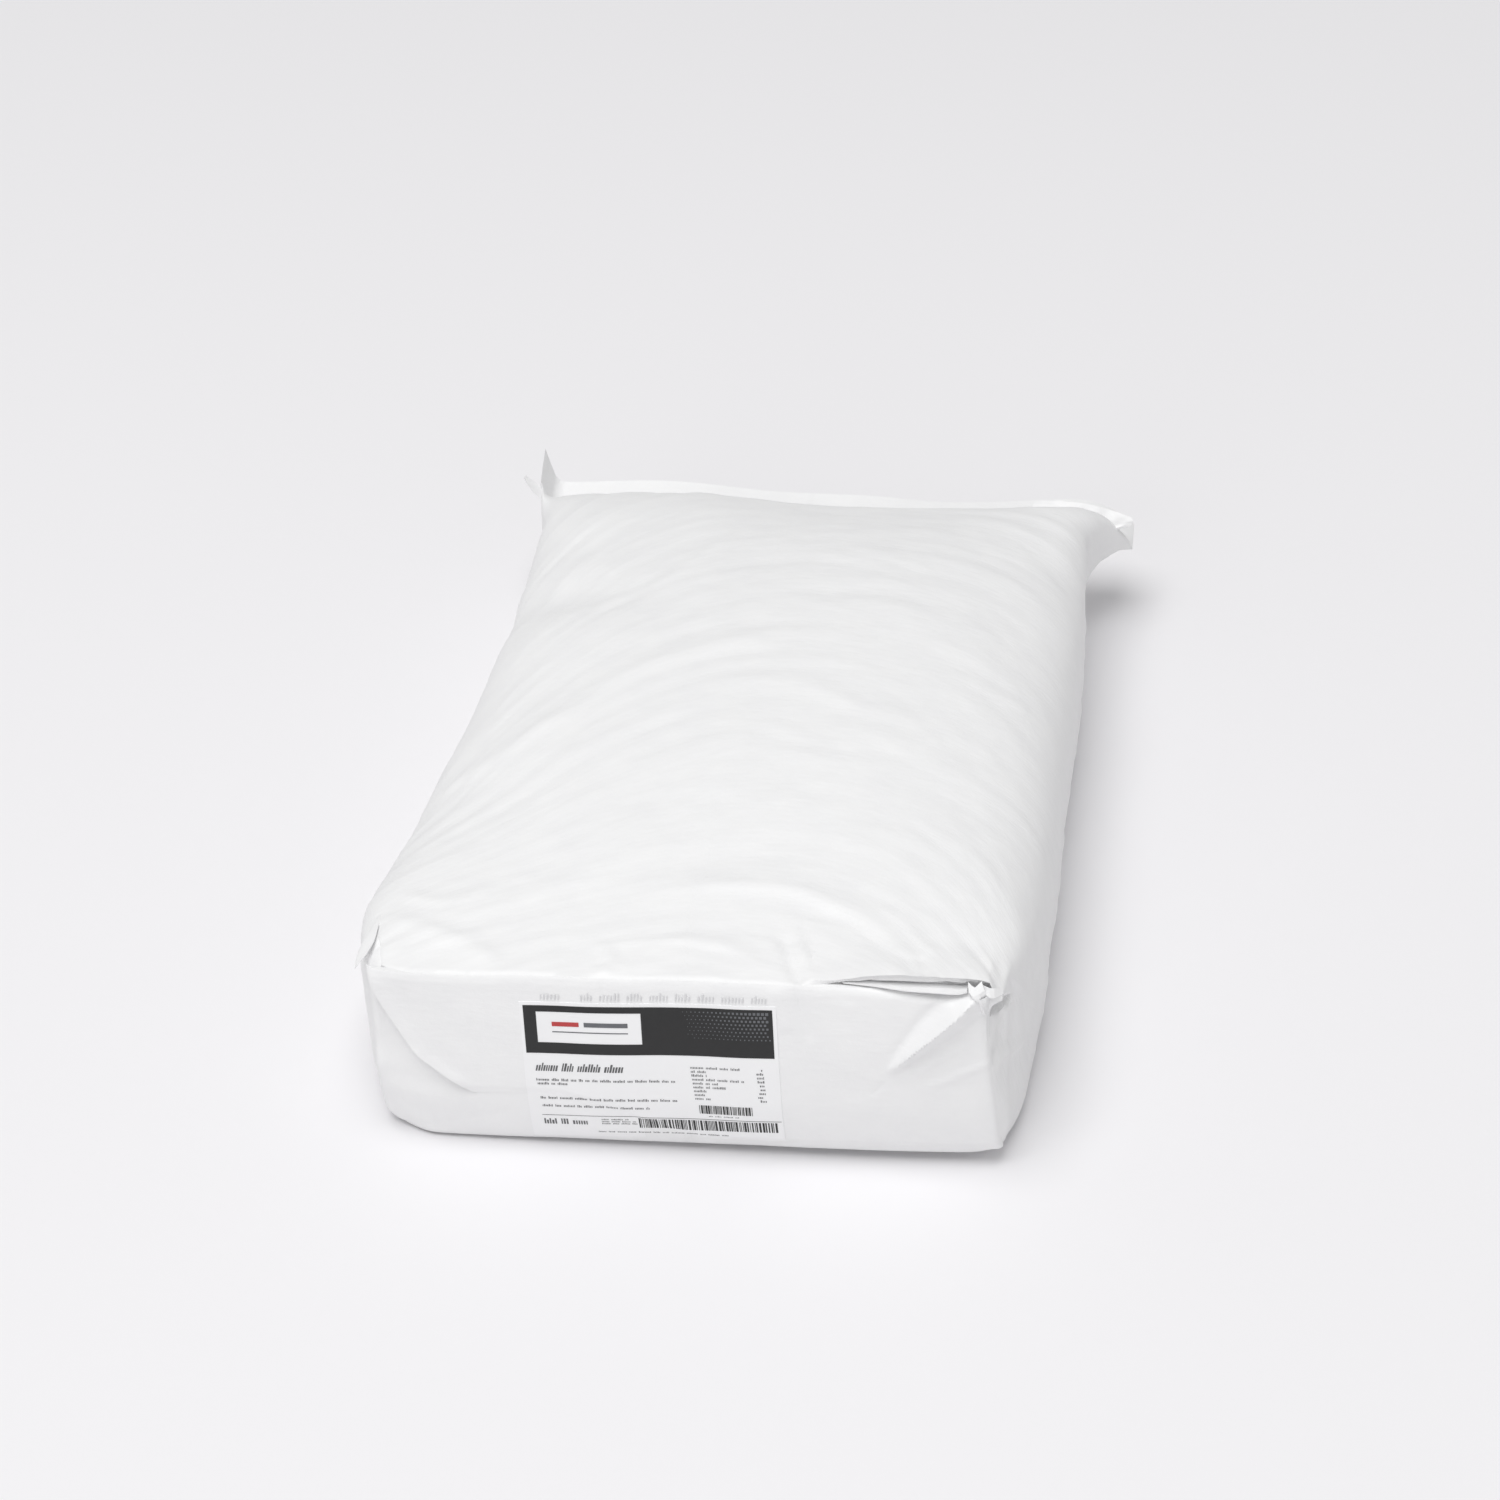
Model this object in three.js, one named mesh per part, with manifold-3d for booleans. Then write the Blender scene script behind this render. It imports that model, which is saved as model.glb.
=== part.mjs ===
// A filled, shut 20 kg paper sack of hazelnut brittle, lying on its back.
// Millimetres, +Z up. The pasted block bottom, with its label, faces -Y, and the pinched end is at +Y.
// Every form is worked out in the sack's own frame, whose zero is on the floor under the middle of
// the block bottom. SACK_AT then puts the origin on the floor under the middle of the whole sack.

import * as THREE from 'three';
import { mergeVertices } from 'three/addons/utils/BufferGeometryUtils.js';
import Module from 'manifold-3d';

const wasm = await Module();
wasm.setup();

// Driving dimensions: the block bottom, the filled length, the pinched seam's height and the crown
const END_WIDTH = 375;
const END_HEIGHT = 121;
const SEAM_Y = 668;
const SEAM_Z = 64;
const CROWN_Z = 142;
const SACK_AT = new THREE.Vector3(-14.7, -344.7, 0);

// How far each flank stands out beyond the block bottom, at places along the length
const FLANK_Y = [0, 80, 200, 335, 468, 614];
const LEFT_OUT = [0, 17, 12, 0, -4, -6];
const RIGHT_OUT = [0, 12, 18, 19, 23, 19];

// Squareness of the cross-sections: nearly square at the block bottom, rounder along the body, and at
// the seam flat across the top over a lens-shaped underside
const SQUARE = 14;
const TOP_ROUND = 3.2;
const UNDER_ROUND = 5;
const FAR_TOP = 7;
const FAR_UNDER = 1.9;
const ROUNDING_LENGTH = 210;
const CLOSING_LENGTH = 160;

// The crown rises from the top fold and falls a little towards the far end
const CROWN_RISE = 284;
const CROWN_FALL = { from: 360, over: 246, drop: 16 };

// The cross-section is widest here, as a part of the height, once past the block bottom
const WIDEST = { part: 0.4, over: 150 };

// The pinched band past the seam, and its two corners
const PINCH = 3.4;
const BAND_WIDTH = 32;
const BAND_TILT = { left: 27, right: 8, from: -190, over: 380 };
const BAND_WAVE = { rise: 1.5, length: 23 };
const EAR_FLARE = 66;
const EAR_START = 57;
const EAR_BLEND = 47;
const LEFT_EAR = { side: -1, reach: 33, foldAt: 178, radius: 9.5, turn: 74, lift: 1 };
const RIGHT_EAR = { side: 1, reach: 49, foldAt: 192, radius: 66, turn: 38, lift: -1 };

// The block bottom's face: its belly, its rounded edges and its drawn-back lower left corner
const BELLY = { out: 7.5, at: 0.36, tuck: 4.5 };
const TOP_EDGE = 3;
const UNDER_EDGE = 4.5;
const SIDE_EDGE = 6.5;
const EDGE_BLEND = 47;
const CORNER = { pull: 14, from: 152, over: 42, height: 57, fade: 85 };

// Its left part bends back along an upright crease. At its right a bevel turns to the side: where it
// begins across the face, at heights from the floor up to the top corner, which stays whole
const FACET = { x: -160, slope: 0.17, soft: 2.5, foot: 45, over: 25 };
const BEVEL_Z = [0, 37, 72, 101, 110, 116];
const BEVEL_X = [184.5, 181, 177.5, 176.5, 180, 190];
const BEVEL = { slope: 1.9, soft: 0.9 };

// The mouth under the right part of the top fold, which rises over it
const MOUTH = { from: 78, over: 56, to: 185, close: 7, rise: 6, back: 46, low: 104 };

// What the sack's own weight and handling did to it
const PRESS = { deep: 1.4, height: 28 };
const SHOULDER = { drop: 10.5, from: -80, to: 227, over: 113, before: 180, fade: 132 };
const DENT = { x: -165, y: 452, slant: 0.3, reach: 74, wide: 28, deep: 5.7 };
const HIGH = 113;

// The sack leans a degree to its left. The block bottom's lower edge meets the floor at its left end and
// stays raised at its right end, and further back the underside comes down to the floor
const STAND = { lift: 4.2, lean: 1.05, height: 40, front: 14, back: 44 };

// The pasted flap, the pleat at its right end and the slot under the top fold
const FLAP = { thick: 1.5, root: 3, top: 117, foot: 44.5, left: [-133, -183], right: [113, 173] };
const FLAP_LIFT = { out: 2.3, part: 0.125 };
const PLEAT = { from: [174, -1, 119], to: [117, -7, 62], wide: 6.6, high: 4.7 };
const SLOT = { from: [82, -3, 120.5], to: [178, -3, 116], wide: 7.5, high: 3 };

// The label
const LABEL = { width: 151, height: 98, x: -19, z: 56.5, turn: 1.2, thick: 0.5, gap: 0.3, ramp: 9.5 };

// Grid steps: cells across the top, up a flank, along the body and over the band
const ACROSS = 28;
const UP = 12;
const ALONG = 34;
const OVER_BAND = 4;
const CROWDING = 0.8;
const FLAP_CELLS = [24, 8];
const LABEL_CELLS = [12, 14];

const clamp = (t) => Math.min(1, Math.max(0, t));
const smooth = (t) => clamp(t) ** 2 * (3 - 2 * clamp(t));
const mix = (a, b, t) => a + (b - a) * t;
const radians = THREE.MathUtils.degToRad;

// A smooth curve through a few values: cubic pieces with mean slopes at the inner points
function through(at, values, x) {
  const last = at.length - 1;
  if (x >= at[last]) return values[last];
  const slope = (i) => {
    const before = Math.max(i - 1, 0);
    const after = Math.min(i + 1, last);
    return (values[after] - values[before]) / (at[after] - at[before]);
  };
  let i = 0;
  while (x > at[i + 1]) i += 1;
  const width = at[i + 1] - at[i];
  const t = clamp((x - at[i]) / width);
  const rise = values[i + 1] - values[i];
  const start = slope(i) * width - rise;
  const end = slope(i + 1) * width - rise;
  return values[i] + rise * t + t * (1 - t) * ((1 - t) * start - t * end);
}

// Numbers from -1 to 1 that crowd towards both ends
function crowded(count) {
  const quarter = (Math.PI / 2) * CROWDING;
  const value = (i) => Math.sin(quarter * ((2 * i) / count - 1)) / Math.sin(quarter);
  return Array.from({ length: count + 1 }, (_, i) => value(i));
}

// Half width of the cross-section on one side
function flank(y, ear) {
  const out = through(FLANK_Y, ear.side < 0 ? LEFT_OUT : RIGHT_OUT, y);
  const flare = clamp((y - SEAM_Y + EAR_FLARE) / EAR_FLARE) ** 1.8;
  return mix(END_WIDTH / 2 + out, ear.foldAt + ear.reach, flare);
}

// Heights and squareness of the cross-section at one place along the sack
function section(y) {
  const far = clamp((y - SEAM_Y + CLOSING_LENGTH) / CLOSING_LENGTH);
  const rise = Math.sin((clamp(y / CROWN_RISE) * Math.PI) / 2) ** 1.1;
  const fall = CROWN_FALL.drop * smooth((y - CROWN_FALL.from) / CROWN_FALL.over);
  const crown = mix(END_HEIGHT, CROWN_Z, rise) - fall;
  const resting = mix(END_HEIGHT / 2, WIDEST.part * CROWN_Z, smooth(y / WIDEST.over));
  const rounding = smooth(y / ROUNDING_LENGTH);
  return {
    top: mix(SEAM_Z + PINCH / 2, crown, (1 - far ** 2.6) ** 0.59),
    under: mix(SEAM_Z - PINCH / 2, 0, (1 - far ** 2.2) ** 0.53),
    widest: mix(resting, SEAM_Z, smooth(far * 1.15)),
    topPower: mix(1 / mix(1 / SQUARE, 1 / TOP_ROUND, rounding), FAR_TOP, far ** 1.5),
    underPower: mix(1 / mix(1 / SQUARE, 1 / UNDER_ROUND, rounding), FAR_UNDER, far ** 1.5),
  };
}

// A point (p, q) of the square from -1 to 1, rounded into the cross-section at y
function rounded(p, q, y) {
  const form = section(y);
  const reach = Math.max(Math.abs(p), Math.abs(q));
  if (reach === 0) return { x: 0, z: form.widest };
  const power = q > 0 ? form.topPower : form.underPower;
  const norm = ((Math.abs(p) / reach) ** power + (Math.abs(q) / reach) ** power) ** (-1 / power);
  const half = flank(y, p < 0 ? LEFT_EAR : RIGHT_EAR);
  const height = q > 0 ? form.top - form.widest : form.widest - form.under;
  return { x: half * p * norm, z: form.widest + height * q * norm };
}

// How far the face curls back within a rounded edge, for a distance in from that edge
function curl(distance, radius) {
  const into = clamp(1 - distance / radius);
  return radius * (1 - Math.sqrt(1 - into ** 2));
}

// The block bottom's belly, which swells out most at a third of its height
function belly(p, height) {
  const above = clamp((height - BELLY.at) / (1 - BELLY.at));
  const below = clamp((BELLY.at - height) / BELLY.at);
  const swell = Math.cos((Math.max(above, below) * Math.PI) / 2);
  return BELLY.tuck * below ** 2 - BELLY.out * swell * (1 - clamp(Math.abs(p)) ** 4);
}

// A length past an edge that begins softly: nothing well before the edge, the full length well past it
function past(length, soft) {
  return soft * Math.log1p(Math.exp(length / soft));
}

// How far the left facet and the right bevel bend back, at a place x across and z up
function bends(x, z) {
  const facet = FACET.slope * past(FACET.x - x, FACET.soft) * smooth((z - FACET.foot) / FACET.over);
  return facet + BEVEL.slope * past(x - through(BEVEL_Z, BEVEL_X, z), BEVEL.soft);
}

// The block bottom's face at a point (p, q) of the square: how far it lies along Y
function face(p, q) {
  const height = (q + 1) / 2;
  const top = curl((1 - height) * END_HEIGHT, TOP_EDGE);
  const under = curl(height * END_HEIGHT, UNDER_EDGE);
  const side = curl(((1 + Math.min(p, 0)) * END_WIDTH) / 2, SIDE_EDGE);
  return belly(p, height) + top + under + side + bends((p * END_WIDTH) / 2, height * END_HEIGHT);
}

// The same face at a place x across and z up
function faceAt(x, z) {
  return face(x / (END_WIDTH / 2), z / (END_HEIGHT / 2) - 1);
}

// The lower left corner of the block bottom is drawn back
function drawBack(point) {
  const left = smooth((-point.x - CORNER.from) / CORNER.over);
  const low = smooth(1 - point.z / CORNER.height);
  point.y += CORNER.pull * left * low * (1 - smooth(point.y / CORNER.fade));
}

// The sack's own weight presses its underside flat on the floor
function press(point) {
  point.z = Math.max(0, point.z - PRESS.deep * (1 - smooth(point.z / PRESS.height)));
}

// The top fold rises over the mouth, most at the block bottom and less further back
function raiseFold(point) {
  const open = smooth((point.x - MOUTH.from) / MOUTH.over) * smooth((MOUTH.to - point.x) / MOUTH.close);
  const upper = smooth((point.z - MOUTH.low) / (END_HEIGHT - MOUTH.low));
  point.z += MOUTH.rise * open * upper * (1 - smooth(point.y / MOUTH.back));
}

// The lean and the lift of the whole sack, but for its underside behind the lower front edge
function stand(point) {
  const slope = Math.sin(radians(STAND.lean));
  const behind = 1 - (1 - clamp((point.y - STAND.front) / STAND.back)) ** 2;
  const resting = behind * (1 - smooth(point.z / STAND.height));
  const raised = (1 - resting) * (STAND.lift + slope * point.x);
  point.x -= slope * point.z;
  point.z += raised;
}

// The far right shoulder lies lower, and a broad dent runs in from the far left flank
function settle(point) {
  const { x, y } = point;
  const across = smooth((x - SHOULDER.from) / SHOULDER.over) * smooth((SHOULDER.to - x) / SHOULDER.over);
  const near = smooth((y - SEAM_Y + SHOULDER.before) / SHOULDER.fade);
  const along = (x - DENT.x) / DENT.reach;
  const aside = (y - DENT.y + DENT.slant * (x - DENT.x)) / DENT.wide;
  const dent = DENT.deep * Math.exp(-(along ** 2) - aside ** 2);
  point.z -= clamp(point.z / HIGH) ** 2 * (SHOULDER.drop * across * near + dent);
}

// One corner of the pinched end turned about its fold: the left one up, the right one down
function turnEar(point, ear) {
  const beyond = ear.side * point.x - ear.foldAt;
  if (beyond <= 0) return;
  const angle = Math.min(beyond / ear.radius, radians(ear.turn));
  const rest = beyond - ear.radius * angle;
  const out = ear.radius * Math.sin(angle) + rest * Math.cos(angle);
  const up = ear.radius * (1 - Math.cos(angle)) + rest * Math.sin(angle);
  const near = smooth((point.y - SEAM_Y + EAR_START) / EAR_BLEND);
  point.x = mix(point.x, ear.side * (ear.foldAt + out), near);
  point.z += ear.lift * near * up;
}

// A closed mesh, gathered point by point and face by face
class Skin {
  points = [];
  triangles = [];

  add(point) {
    this.points.push(point.x, point.y, point.z);
    return this.points.length / 3 - 1;
  }

  triangle(a, b, c) {
    if (a !== b && b !== c && c !== a) this.triangles.push(a, b, c);
  }

  quad(a, b, c, d) {
    this.triangle(a, b, c);
    this.triangle(a, c, d);
  }

  solid() {
    return solidOf(this.points, this.triangles);
  }
}

// A solid from points and triangles
function solidOf(points, triangles) {
  const vertProperties = new Float32Array(points);
  const triVerts = new Uint32Array(triangles);
  return new wasm.Manifold(new wasm.Mesh({ numProp: 3, vertProperties, triVerts }));
}

// The square's edge as a ring of points, from its top left corner over the top and down the right
function squareRing(across, up) {
  const top = across.slice(0, -1).map((p) => [p, 1]);
  const right = up.slice(0, -1).map((q) => [1, -q]);
  const under = across.slice(0, -1).map((p) => [-p, -1]);
  const left = up.slice(0, -1).map((q) => [-1, q]);
  return [...top, ...right, ...under, ...left];
}

// A point of the tube, or of the band past the seam
function tubePoint([p, q], along) {
  const y = Math.min(along, SEAM_Y);
  const flat = rounded(p, q, y);
  const point = new THREE.Vector3(flat.x, y + face(p, q) * (1 - smooth(y / EDGE_BLEND)), flat.z);
  const onBand = along - y;
  const turned = smooth((flat.x - BAND_TILT.from) / BAND_TILT.over);
  const tilt = radians(mix(BAND_TILT.left, BAND_TILT.right, turned));
  const wave = BAND_WAVE.rise * (onBand / BAND_WIDTH) * Math.sin(flat.x / BAND_WAVE.length);
  point.y += onBand * Math.cos(tilt);
  point.z += onBand * Math.sin(tilt) + wave;
  drawBack(point);
  settle(point);
  press(point);
  raiseFold(point);
  turnEar(point, LEFT_EAR);
  turnEar(point, RIGHT_EAR);
  stand(point);
  return point;
}

// A point inside the block bottom's rim
function facePoint(p, q) {
  const flat = rounded(p, q, 0);
  const point = new THREE.Vector3(flat.x, face(p, q), flat.z);
  drawBack(point);
  press(point);
  raiseFold(point);
  stand(point);
  return point;
}

// Places along the sack, crowded towards both ends, then over the band
function stations() {
  const body = crowded(ALONG).map((t) => (SEAM_Y * (t + 1)) / 2);
  const step = BAND_WIDTH / OVER_BAND;
  const band = Array.from({ length: OVER_BAND }, (_, i) => SEAM_Y + step * (i + 1));
  return [...body, ...band];
}

// The block bottom's face: a grid whose rim is the tube's first ring
function closeFace(skin, rim, across, up) {
  const onRim = (i, j) => {
    if (j === UP) return rim[i];
    if (i === ACROSS) return rim[ACROSS + UP - j];
    if (j === 0) return rim[2 * ACROSS + UP - i];
    return rim[2 * ACROSS + UP + j];
  };
  const inside = (i, j) => i > 0 && i < ACROSS && j > 0 && j < UP;
  const corner = (i, j) => (inside(i, j) ? skin.add(facePoint(across[i], up[j])) : onRim(i, j));
  const grid = across.map((_, i) => up.map((__, j) => corner(i, j)));
  for (let i = 0; i < ACROSS; i += 1) {
    for (let j = 0; j < UP; j += 1) {
      skin.quad(grid[i][j], grid[i + 1][j], grid[i + 1][j + 1], grid[i][j + 1]);
    }
  }
}

// The band's free edge, closed from its left end to its right end: at each step the upper or the lower row
// moves on to its next point, whichever lies further left on the flat band
function closeBand(skin, rim, ring) {
  const onRing = (i) => (i + rim.length) % rim.length;
  const place = (i) => rounded(...ring[onRing(i)], SEAM_Y).x;
  const vertex = (i) => rim[onRing(i)];
  const end = ACROSS + UP / 2;
  let upper = -UP / 2;
  let lower = rim.length - UP / 2;
  while (upper < end || lower > end) {
    if (upper < end && (lower === end || place(upper + 1) <= place(lower - 1))) {
      skin.triangle(vertex(upper), vertex(upper + 1), vertex(lower));
      upper += 1;
    } else {
      skin.triangle(vertex(upper), vertex(lower - 1), vertex(lower));
      lower -= 1;
    }
  }
}

// The filled tube from the block bottom to the band's free edge
function tube() {
  const across = crowded(ACROSS);
  const up = crowded(UP);
  const skin = new Skin();
  const ring = squareRing(across, up);
  const rings = stations().map((y) => ring.map((corner) => skin.add(tubePoint(corner, y))));
  for (let k = 0; k + 1 < rings.length; k += 1) {
    for (let i = 0; i < ring.length; i += 1) {
      const next = (i + 1) % ring.length;
      skin.quad(rings[k][i], rings[k][next], rings[k + 1][next], rings[k + 1][i]);
    }
  }
  closeFace(skin, rings[0], across, up);
  closeBand(skin, rings.at(-1), ring);
  return skin.solid();
}

// A thin solid between a front and a back surface, both functions of (s, t) from 0 to 1
function sheet(front, back, [columns, rows]) {
  const skin = new Skin();
  const column = (surface, i) => (
    Array.from({ length: rows + 1 }, (_, j) => skin.add(surface(i / columns, j / rows)))
  );
  const grid = (surface) => Array.from({ length: columns + 1 }, (_, i) => column(surface, i));
  const near = grid(front);
  const far = grid(back);
  for (let i = 0; i < columns; i += 1) {
    for (let j = 0; j < rows; j += 1) {
      skin.quad(near[i][j], near[i + 1][j], near[i + 1][j + 1], near[i][j + 1]);
      skin.quad(far[i][j], far[i][j + 1], far[i + 1][j + 1], far[i + 1][j]);
    }
    skin.quad(far[i][0], far[i + 1][0], near[i + 1][0], near[i][0]);
    skin.quad(near[i][rows], near[i + 1][rows], far[i + 1][rows], far[i][rows]);
  }
  for (let j = 0; j < rows; j += 1) {
    skin.quad(far[0][j], near[0][j], near[0][j + 1], far[0][j + 1]);
    skin.quad(near[columns][j], far[columns][j], far[columns][j + 1], near[columns][j + 1]);
  }
  return skin.solid();
}

// The pasted flap, a trapezoid under the top fold whose left edge stands a little off the face
function flap() {
  const place = (s, t, out) => {
    const x = mix(mix(...FLAP.left, t), mix(...FLAP.right, t), s);
    const z = mix(FLAP.foot, FLAP.top, t);
    const point = new THREE.Vector3(x, faceAt(x, z) - out, z);
    stand(point);
    return point;
  };
  const lift = (s, t) => FLAP_LIFT.out * (1 - smooth(s / FLAP_LIFT.part)) * Math.sin(Math.PI * t);
  const front = (s, t) => place(s, t, FLAP.thick + lift(s, t));
  const back = (s, t) => place(s, t, -FLAP.root);
  return sheet(front, back, FLAP_CELLS);
}

// A long rounded lump between two places, to be joined on or cut out
function spindle({ from, to, wide, high }) {
  const start = new THREE.Vector3(...from);
  const run = new THREE.Vector3(...to).sub(start);
  const turn = new THREE.Quaternion().setFromUnitVectors(THREE.Object3D.DEFAULT_UP, run.clone().normalize());
  const shape = new THREE.SphereGeometry(1, 14, 12);
  shape.scale(wide, run.length() / 2, high);
  shape.applyQuaternion(turn);
  shape.translate(...start.addScaledVector(run, 0.5));
  shape.deleteAttribute('normal');
  shape.deleteAttribute('uv');
  const closed = mergeVertices(shape);
  const spots = closed.attributes.position;
  const standing = Array.from({ length: spots.count }, (_, i) => {
    const point = new THREE.Vector3().fromBufferAttribute(spots, i);
    stand(point);
    return point.toArray();
  });
  return solidOf(standing.flat(), closed.index.array);
}

// The sack: one closed skin of paper, full of brittle
function sack() {
  return tube().add(flap()).add(spindle(PLEAT)).subtract(spindle(SLOT));
}

// The label: a thin rectangle that follows the face and steps over the flap's foot
function label() {
  const turn = radians(LABEL.turn);
  const place = (s, t, out) => {
    const across = (s - 0.5) * LABEL.width;
    const up = (t - 0.5) * LABEL.height;
    const x = LABEL.x + across * Math.cos(turn) - up * Math.sin(turn);
    const z = LABEL.z + across * Math.sin(turn) + up * Math.cos(turn);
    const over = FLAP.thick * smooth((z - FLAP.foot + LABEL.ramp) / (LABEL.ramp - 2));
    const point = new THREE.Vector3(x, faceAt(x, z) - over - LABEL.gap - out, z);
    press(point);
    stand(point);
    return point;
  };
  return sheet((s, t) => place(s, t, LABEL.thick), (s, t) => place(s, t, 0), LABEL_CELLS);
}

// A solid as a named mesh in the sack's place
function piece(name, solid, finish) {
  const { vertProperties, triVerts } = solid.getMesh();
  const shape = new THREE.BufferGeometry();
  shape.setAttribute('position', new THREE.Float32BufferAttribute(vertProperties, 3));
  shape.setIndex(Array.from(triVerts));
  shape.computeVertexNormals();
  const mesh = new THREE.Mesh(shape, new THREE.MeshStandardMaterial(finish));
  mesh.name = name;
  mesh.position.copy(SACK_AT);
  return mesh;
}

const whiteKraft = { color: 0xefefef, roughness: 0.6, metalness: 0 };
const coatedPaper = { color: 0xf4f4f4, roughness: 0.4, metalness: 0 };

const bag = new THREE.Group();
bag.add(piece('sack', sack(), whiteKraft));
bag.add(piece('label', label(), coatedPaper));

export default bag;
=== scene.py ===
"""A filled, shut paper sack of hazelnut brittle, lying on its back on a pale studio floor.

Lengths are worked out in millimetres in the sack's own frame: its zero is on the floor under the middle
of the block bottom, +X is to the right of the block bottom, +Y runs along the sack and +Z is up. Points
become metres in the shared frame only when a mesh is made.
"""

import math

import bpy
import numpy as np
from mathutils import Matrix, Vector


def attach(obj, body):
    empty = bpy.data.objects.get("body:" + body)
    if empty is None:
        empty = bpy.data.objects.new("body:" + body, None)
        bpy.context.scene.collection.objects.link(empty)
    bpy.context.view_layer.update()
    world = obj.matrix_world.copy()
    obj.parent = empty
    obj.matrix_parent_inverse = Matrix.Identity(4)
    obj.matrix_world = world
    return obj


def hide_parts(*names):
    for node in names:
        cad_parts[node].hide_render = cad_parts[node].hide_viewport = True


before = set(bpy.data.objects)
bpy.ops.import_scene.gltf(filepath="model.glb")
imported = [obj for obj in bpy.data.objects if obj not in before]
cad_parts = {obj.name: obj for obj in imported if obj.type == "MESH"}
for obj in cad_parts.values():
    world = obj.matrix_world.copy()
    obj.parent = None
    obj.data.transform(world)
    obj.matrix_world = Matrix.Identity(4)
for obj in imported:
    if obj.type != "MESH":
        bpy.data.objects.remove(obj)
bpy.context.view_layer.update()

# Shared frame: metres, with the origin on the floor under the middle of the whole sack
MM = 0.001
SACK_AT = np.array([-14.7, -344.7, 0.0])

# Driving dimensions of the form, as in the solids
END_WIDTH = 375.0
END_HEIGHT = 121.0
SEAM_Y = 668.0
SEAM_Z = 64.0
CROWN_Z = 142.0
FLANK_Y = np.array([0.0, 80.0, 200.0, 335.0, 468.0, 614.0])
LEFT_OUT = np.array([0.0, 17.0, 12.0, 0.0, -4.0, -6.0])
RIGHT_OUT = np.array([0.0, 12.0, 18.0, 19.0, 23.0, 19.0])

# Squareness of the cross-section: powers at the block bottom, over the filled part and at the seam
SQUARE, TOP_ROUND, UNDER_ROUND, FAR_TOP, FAR_UNDER = 14.0, 3.2, 5.0, 7.0, 1.9
ROUNDING_LENGTH, CLOSING_LENGTH = 210.0, 160.0

# How the top and the underside close to the seam: powers within and round one less the way there
CLOSING_TOP, CLOSING_UNDER = (2.6, 0.59), (2.2, 0.53)
CLOSING_POWER, LEVEL_EARLY = 1.5, 1.15
CROWN_RISE, CROWN_POWER = 284.0, 1.1
CROWN_FALL = {"start": 360.0, "over": 246.0, "drop": 16.0}
WIDEST = {"part": 0.4, "over": 150.0}

# The pinched band and the ears at its corners, each turned about its fold
PINCH, BAND_WIDTH = 3.4, 32.0
BAND_TILT = {"left": 27.0, "right": 8.0, "start": -190.0, "over": 380.0}
BAND_WAVE = {"rise": 1.5, "length": 23.0}
EAR_FLARE, EAR_CURVE, EAR_START, EAR_BLEND = 66.0, 1.8, 57.0, 47.0
LEFT_EAR = {"side": -1, "reach": 33.0, "fold": 178.0, "radius": 9.5, "turn": 74.0, "lift": 1}
RIGHT_EAR = {"side": 1, "reach": 49.0, "fold": 192.0, "radius": 66.0, "turn": 38.0, "lift": -1}

# The block bottom's belly and rounded edges, its drawn-back corner, and what weight did to the form
BELLY = {"out": 7.5, "at": 0.36, "tuck": 4.5, "flat": 4}
TOP_EDGE, UNDER_EDGE, SIDE_EDGE, EDGE_BLEND = 3.0, 4.5, 6.5, 47.0
CORNER = {"pull": 14.0, "start": 152.0, "over": 42.0, "height": 57.0, "fade": 85.0}
PRESS = {"deep": 1.4, "height": 28.0}
SHOULDER = {"drop": 10.5, "start": -80.0, "end": 227.0, "over": 113.0, "before": 180.0, "fade": 132.0}
DENT = {"x": -165.0, "y": 452.0, "slant": 0.3, "reach": 74.0, "wide": 28.0, "deep": 5.7}
HIGH = 113.0

# The block bottom's left part bends back along an upright crease. At its right a bevel turns to the side:
# where it begins across the face, at heights from the floor up to the top corner, which stays whole
FACET = {"x": -160.0, "slope": 0.17, "soft": 2.5, "foot": 45.0, "over": 25.0}
BEVEL_Z = np.array([0.0, 37.0, 72.0, 101.0, 110.0, 116.0])
BEVEL_X = np.array([184.5, 181.0, 177.5, 176.5, 180.0, 190.0])
BEVEL = {"slope": 1.9, "soft": 0.9}

# The sack leans a degree to its left. The block bottom's lower edge meets the floor at its left end and
# stays raised at its right end, and further back the underside comes down to the floor
STAND = {"lift": 4.2, "lean": 1.05, "height": 40.0, "front": 14.0, "back": 44.0}

# The mouth: under the right part of the top fold a slot stands open, and the fold rises over it. Its
# recess is shallow above one height and deep below it
MOUTH = {"start": 68.0, "over": 56.0, "end": 185.0, "close": 7.0, "rise": 6.0, "back": 46.0, "low": 104.0}
RECESS = {"shallow": 5.5, "deep": 11.0, "level": 120.0, "step": 2.0, "under": 5.0, "over": 3.0, "full": 0.7}

# The flap: its free left edge as (x, z) from its foot up, its top edge under the fold, and its build-up
FLAP_EDGE = [(-128, 41), (-147, 55), (-160, 66), (-168.5, 78.5), (-176, 90.5), (-183.5, 105), (-187, 117.8)]
FLAP_TOP_X = np.array([-190.0, 70.0, 88.0, 110.0, 130.0, 149.0, 161.0, 168.0, 176.0, 190.0])
FLAP_TOP_Z = np.array([119.4, 119.8, 119.6, 118.4, 116.6, 114.4, 116.4, 118.6, 119.0, 118.6])
FLAP = {"thick": 1.3, "thin": 0.3, "foot": 41.0, "low": 6.5, "step": 6.0, "sunk": 0.6, "right": 186.0}
FLAP_RIM = {"past": 1.4, "behind": 1.6, "soft": 0.4, "over": 14.0}
FLAP_SLOPE = {"start": -85.0, "over": 110.0}
FLAP_PASTED = {"start": -90.0, "over": 80.0, "part": 0.55}
FLAP_TOP = {"start": 114.0, "over": 6.0}
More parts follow.
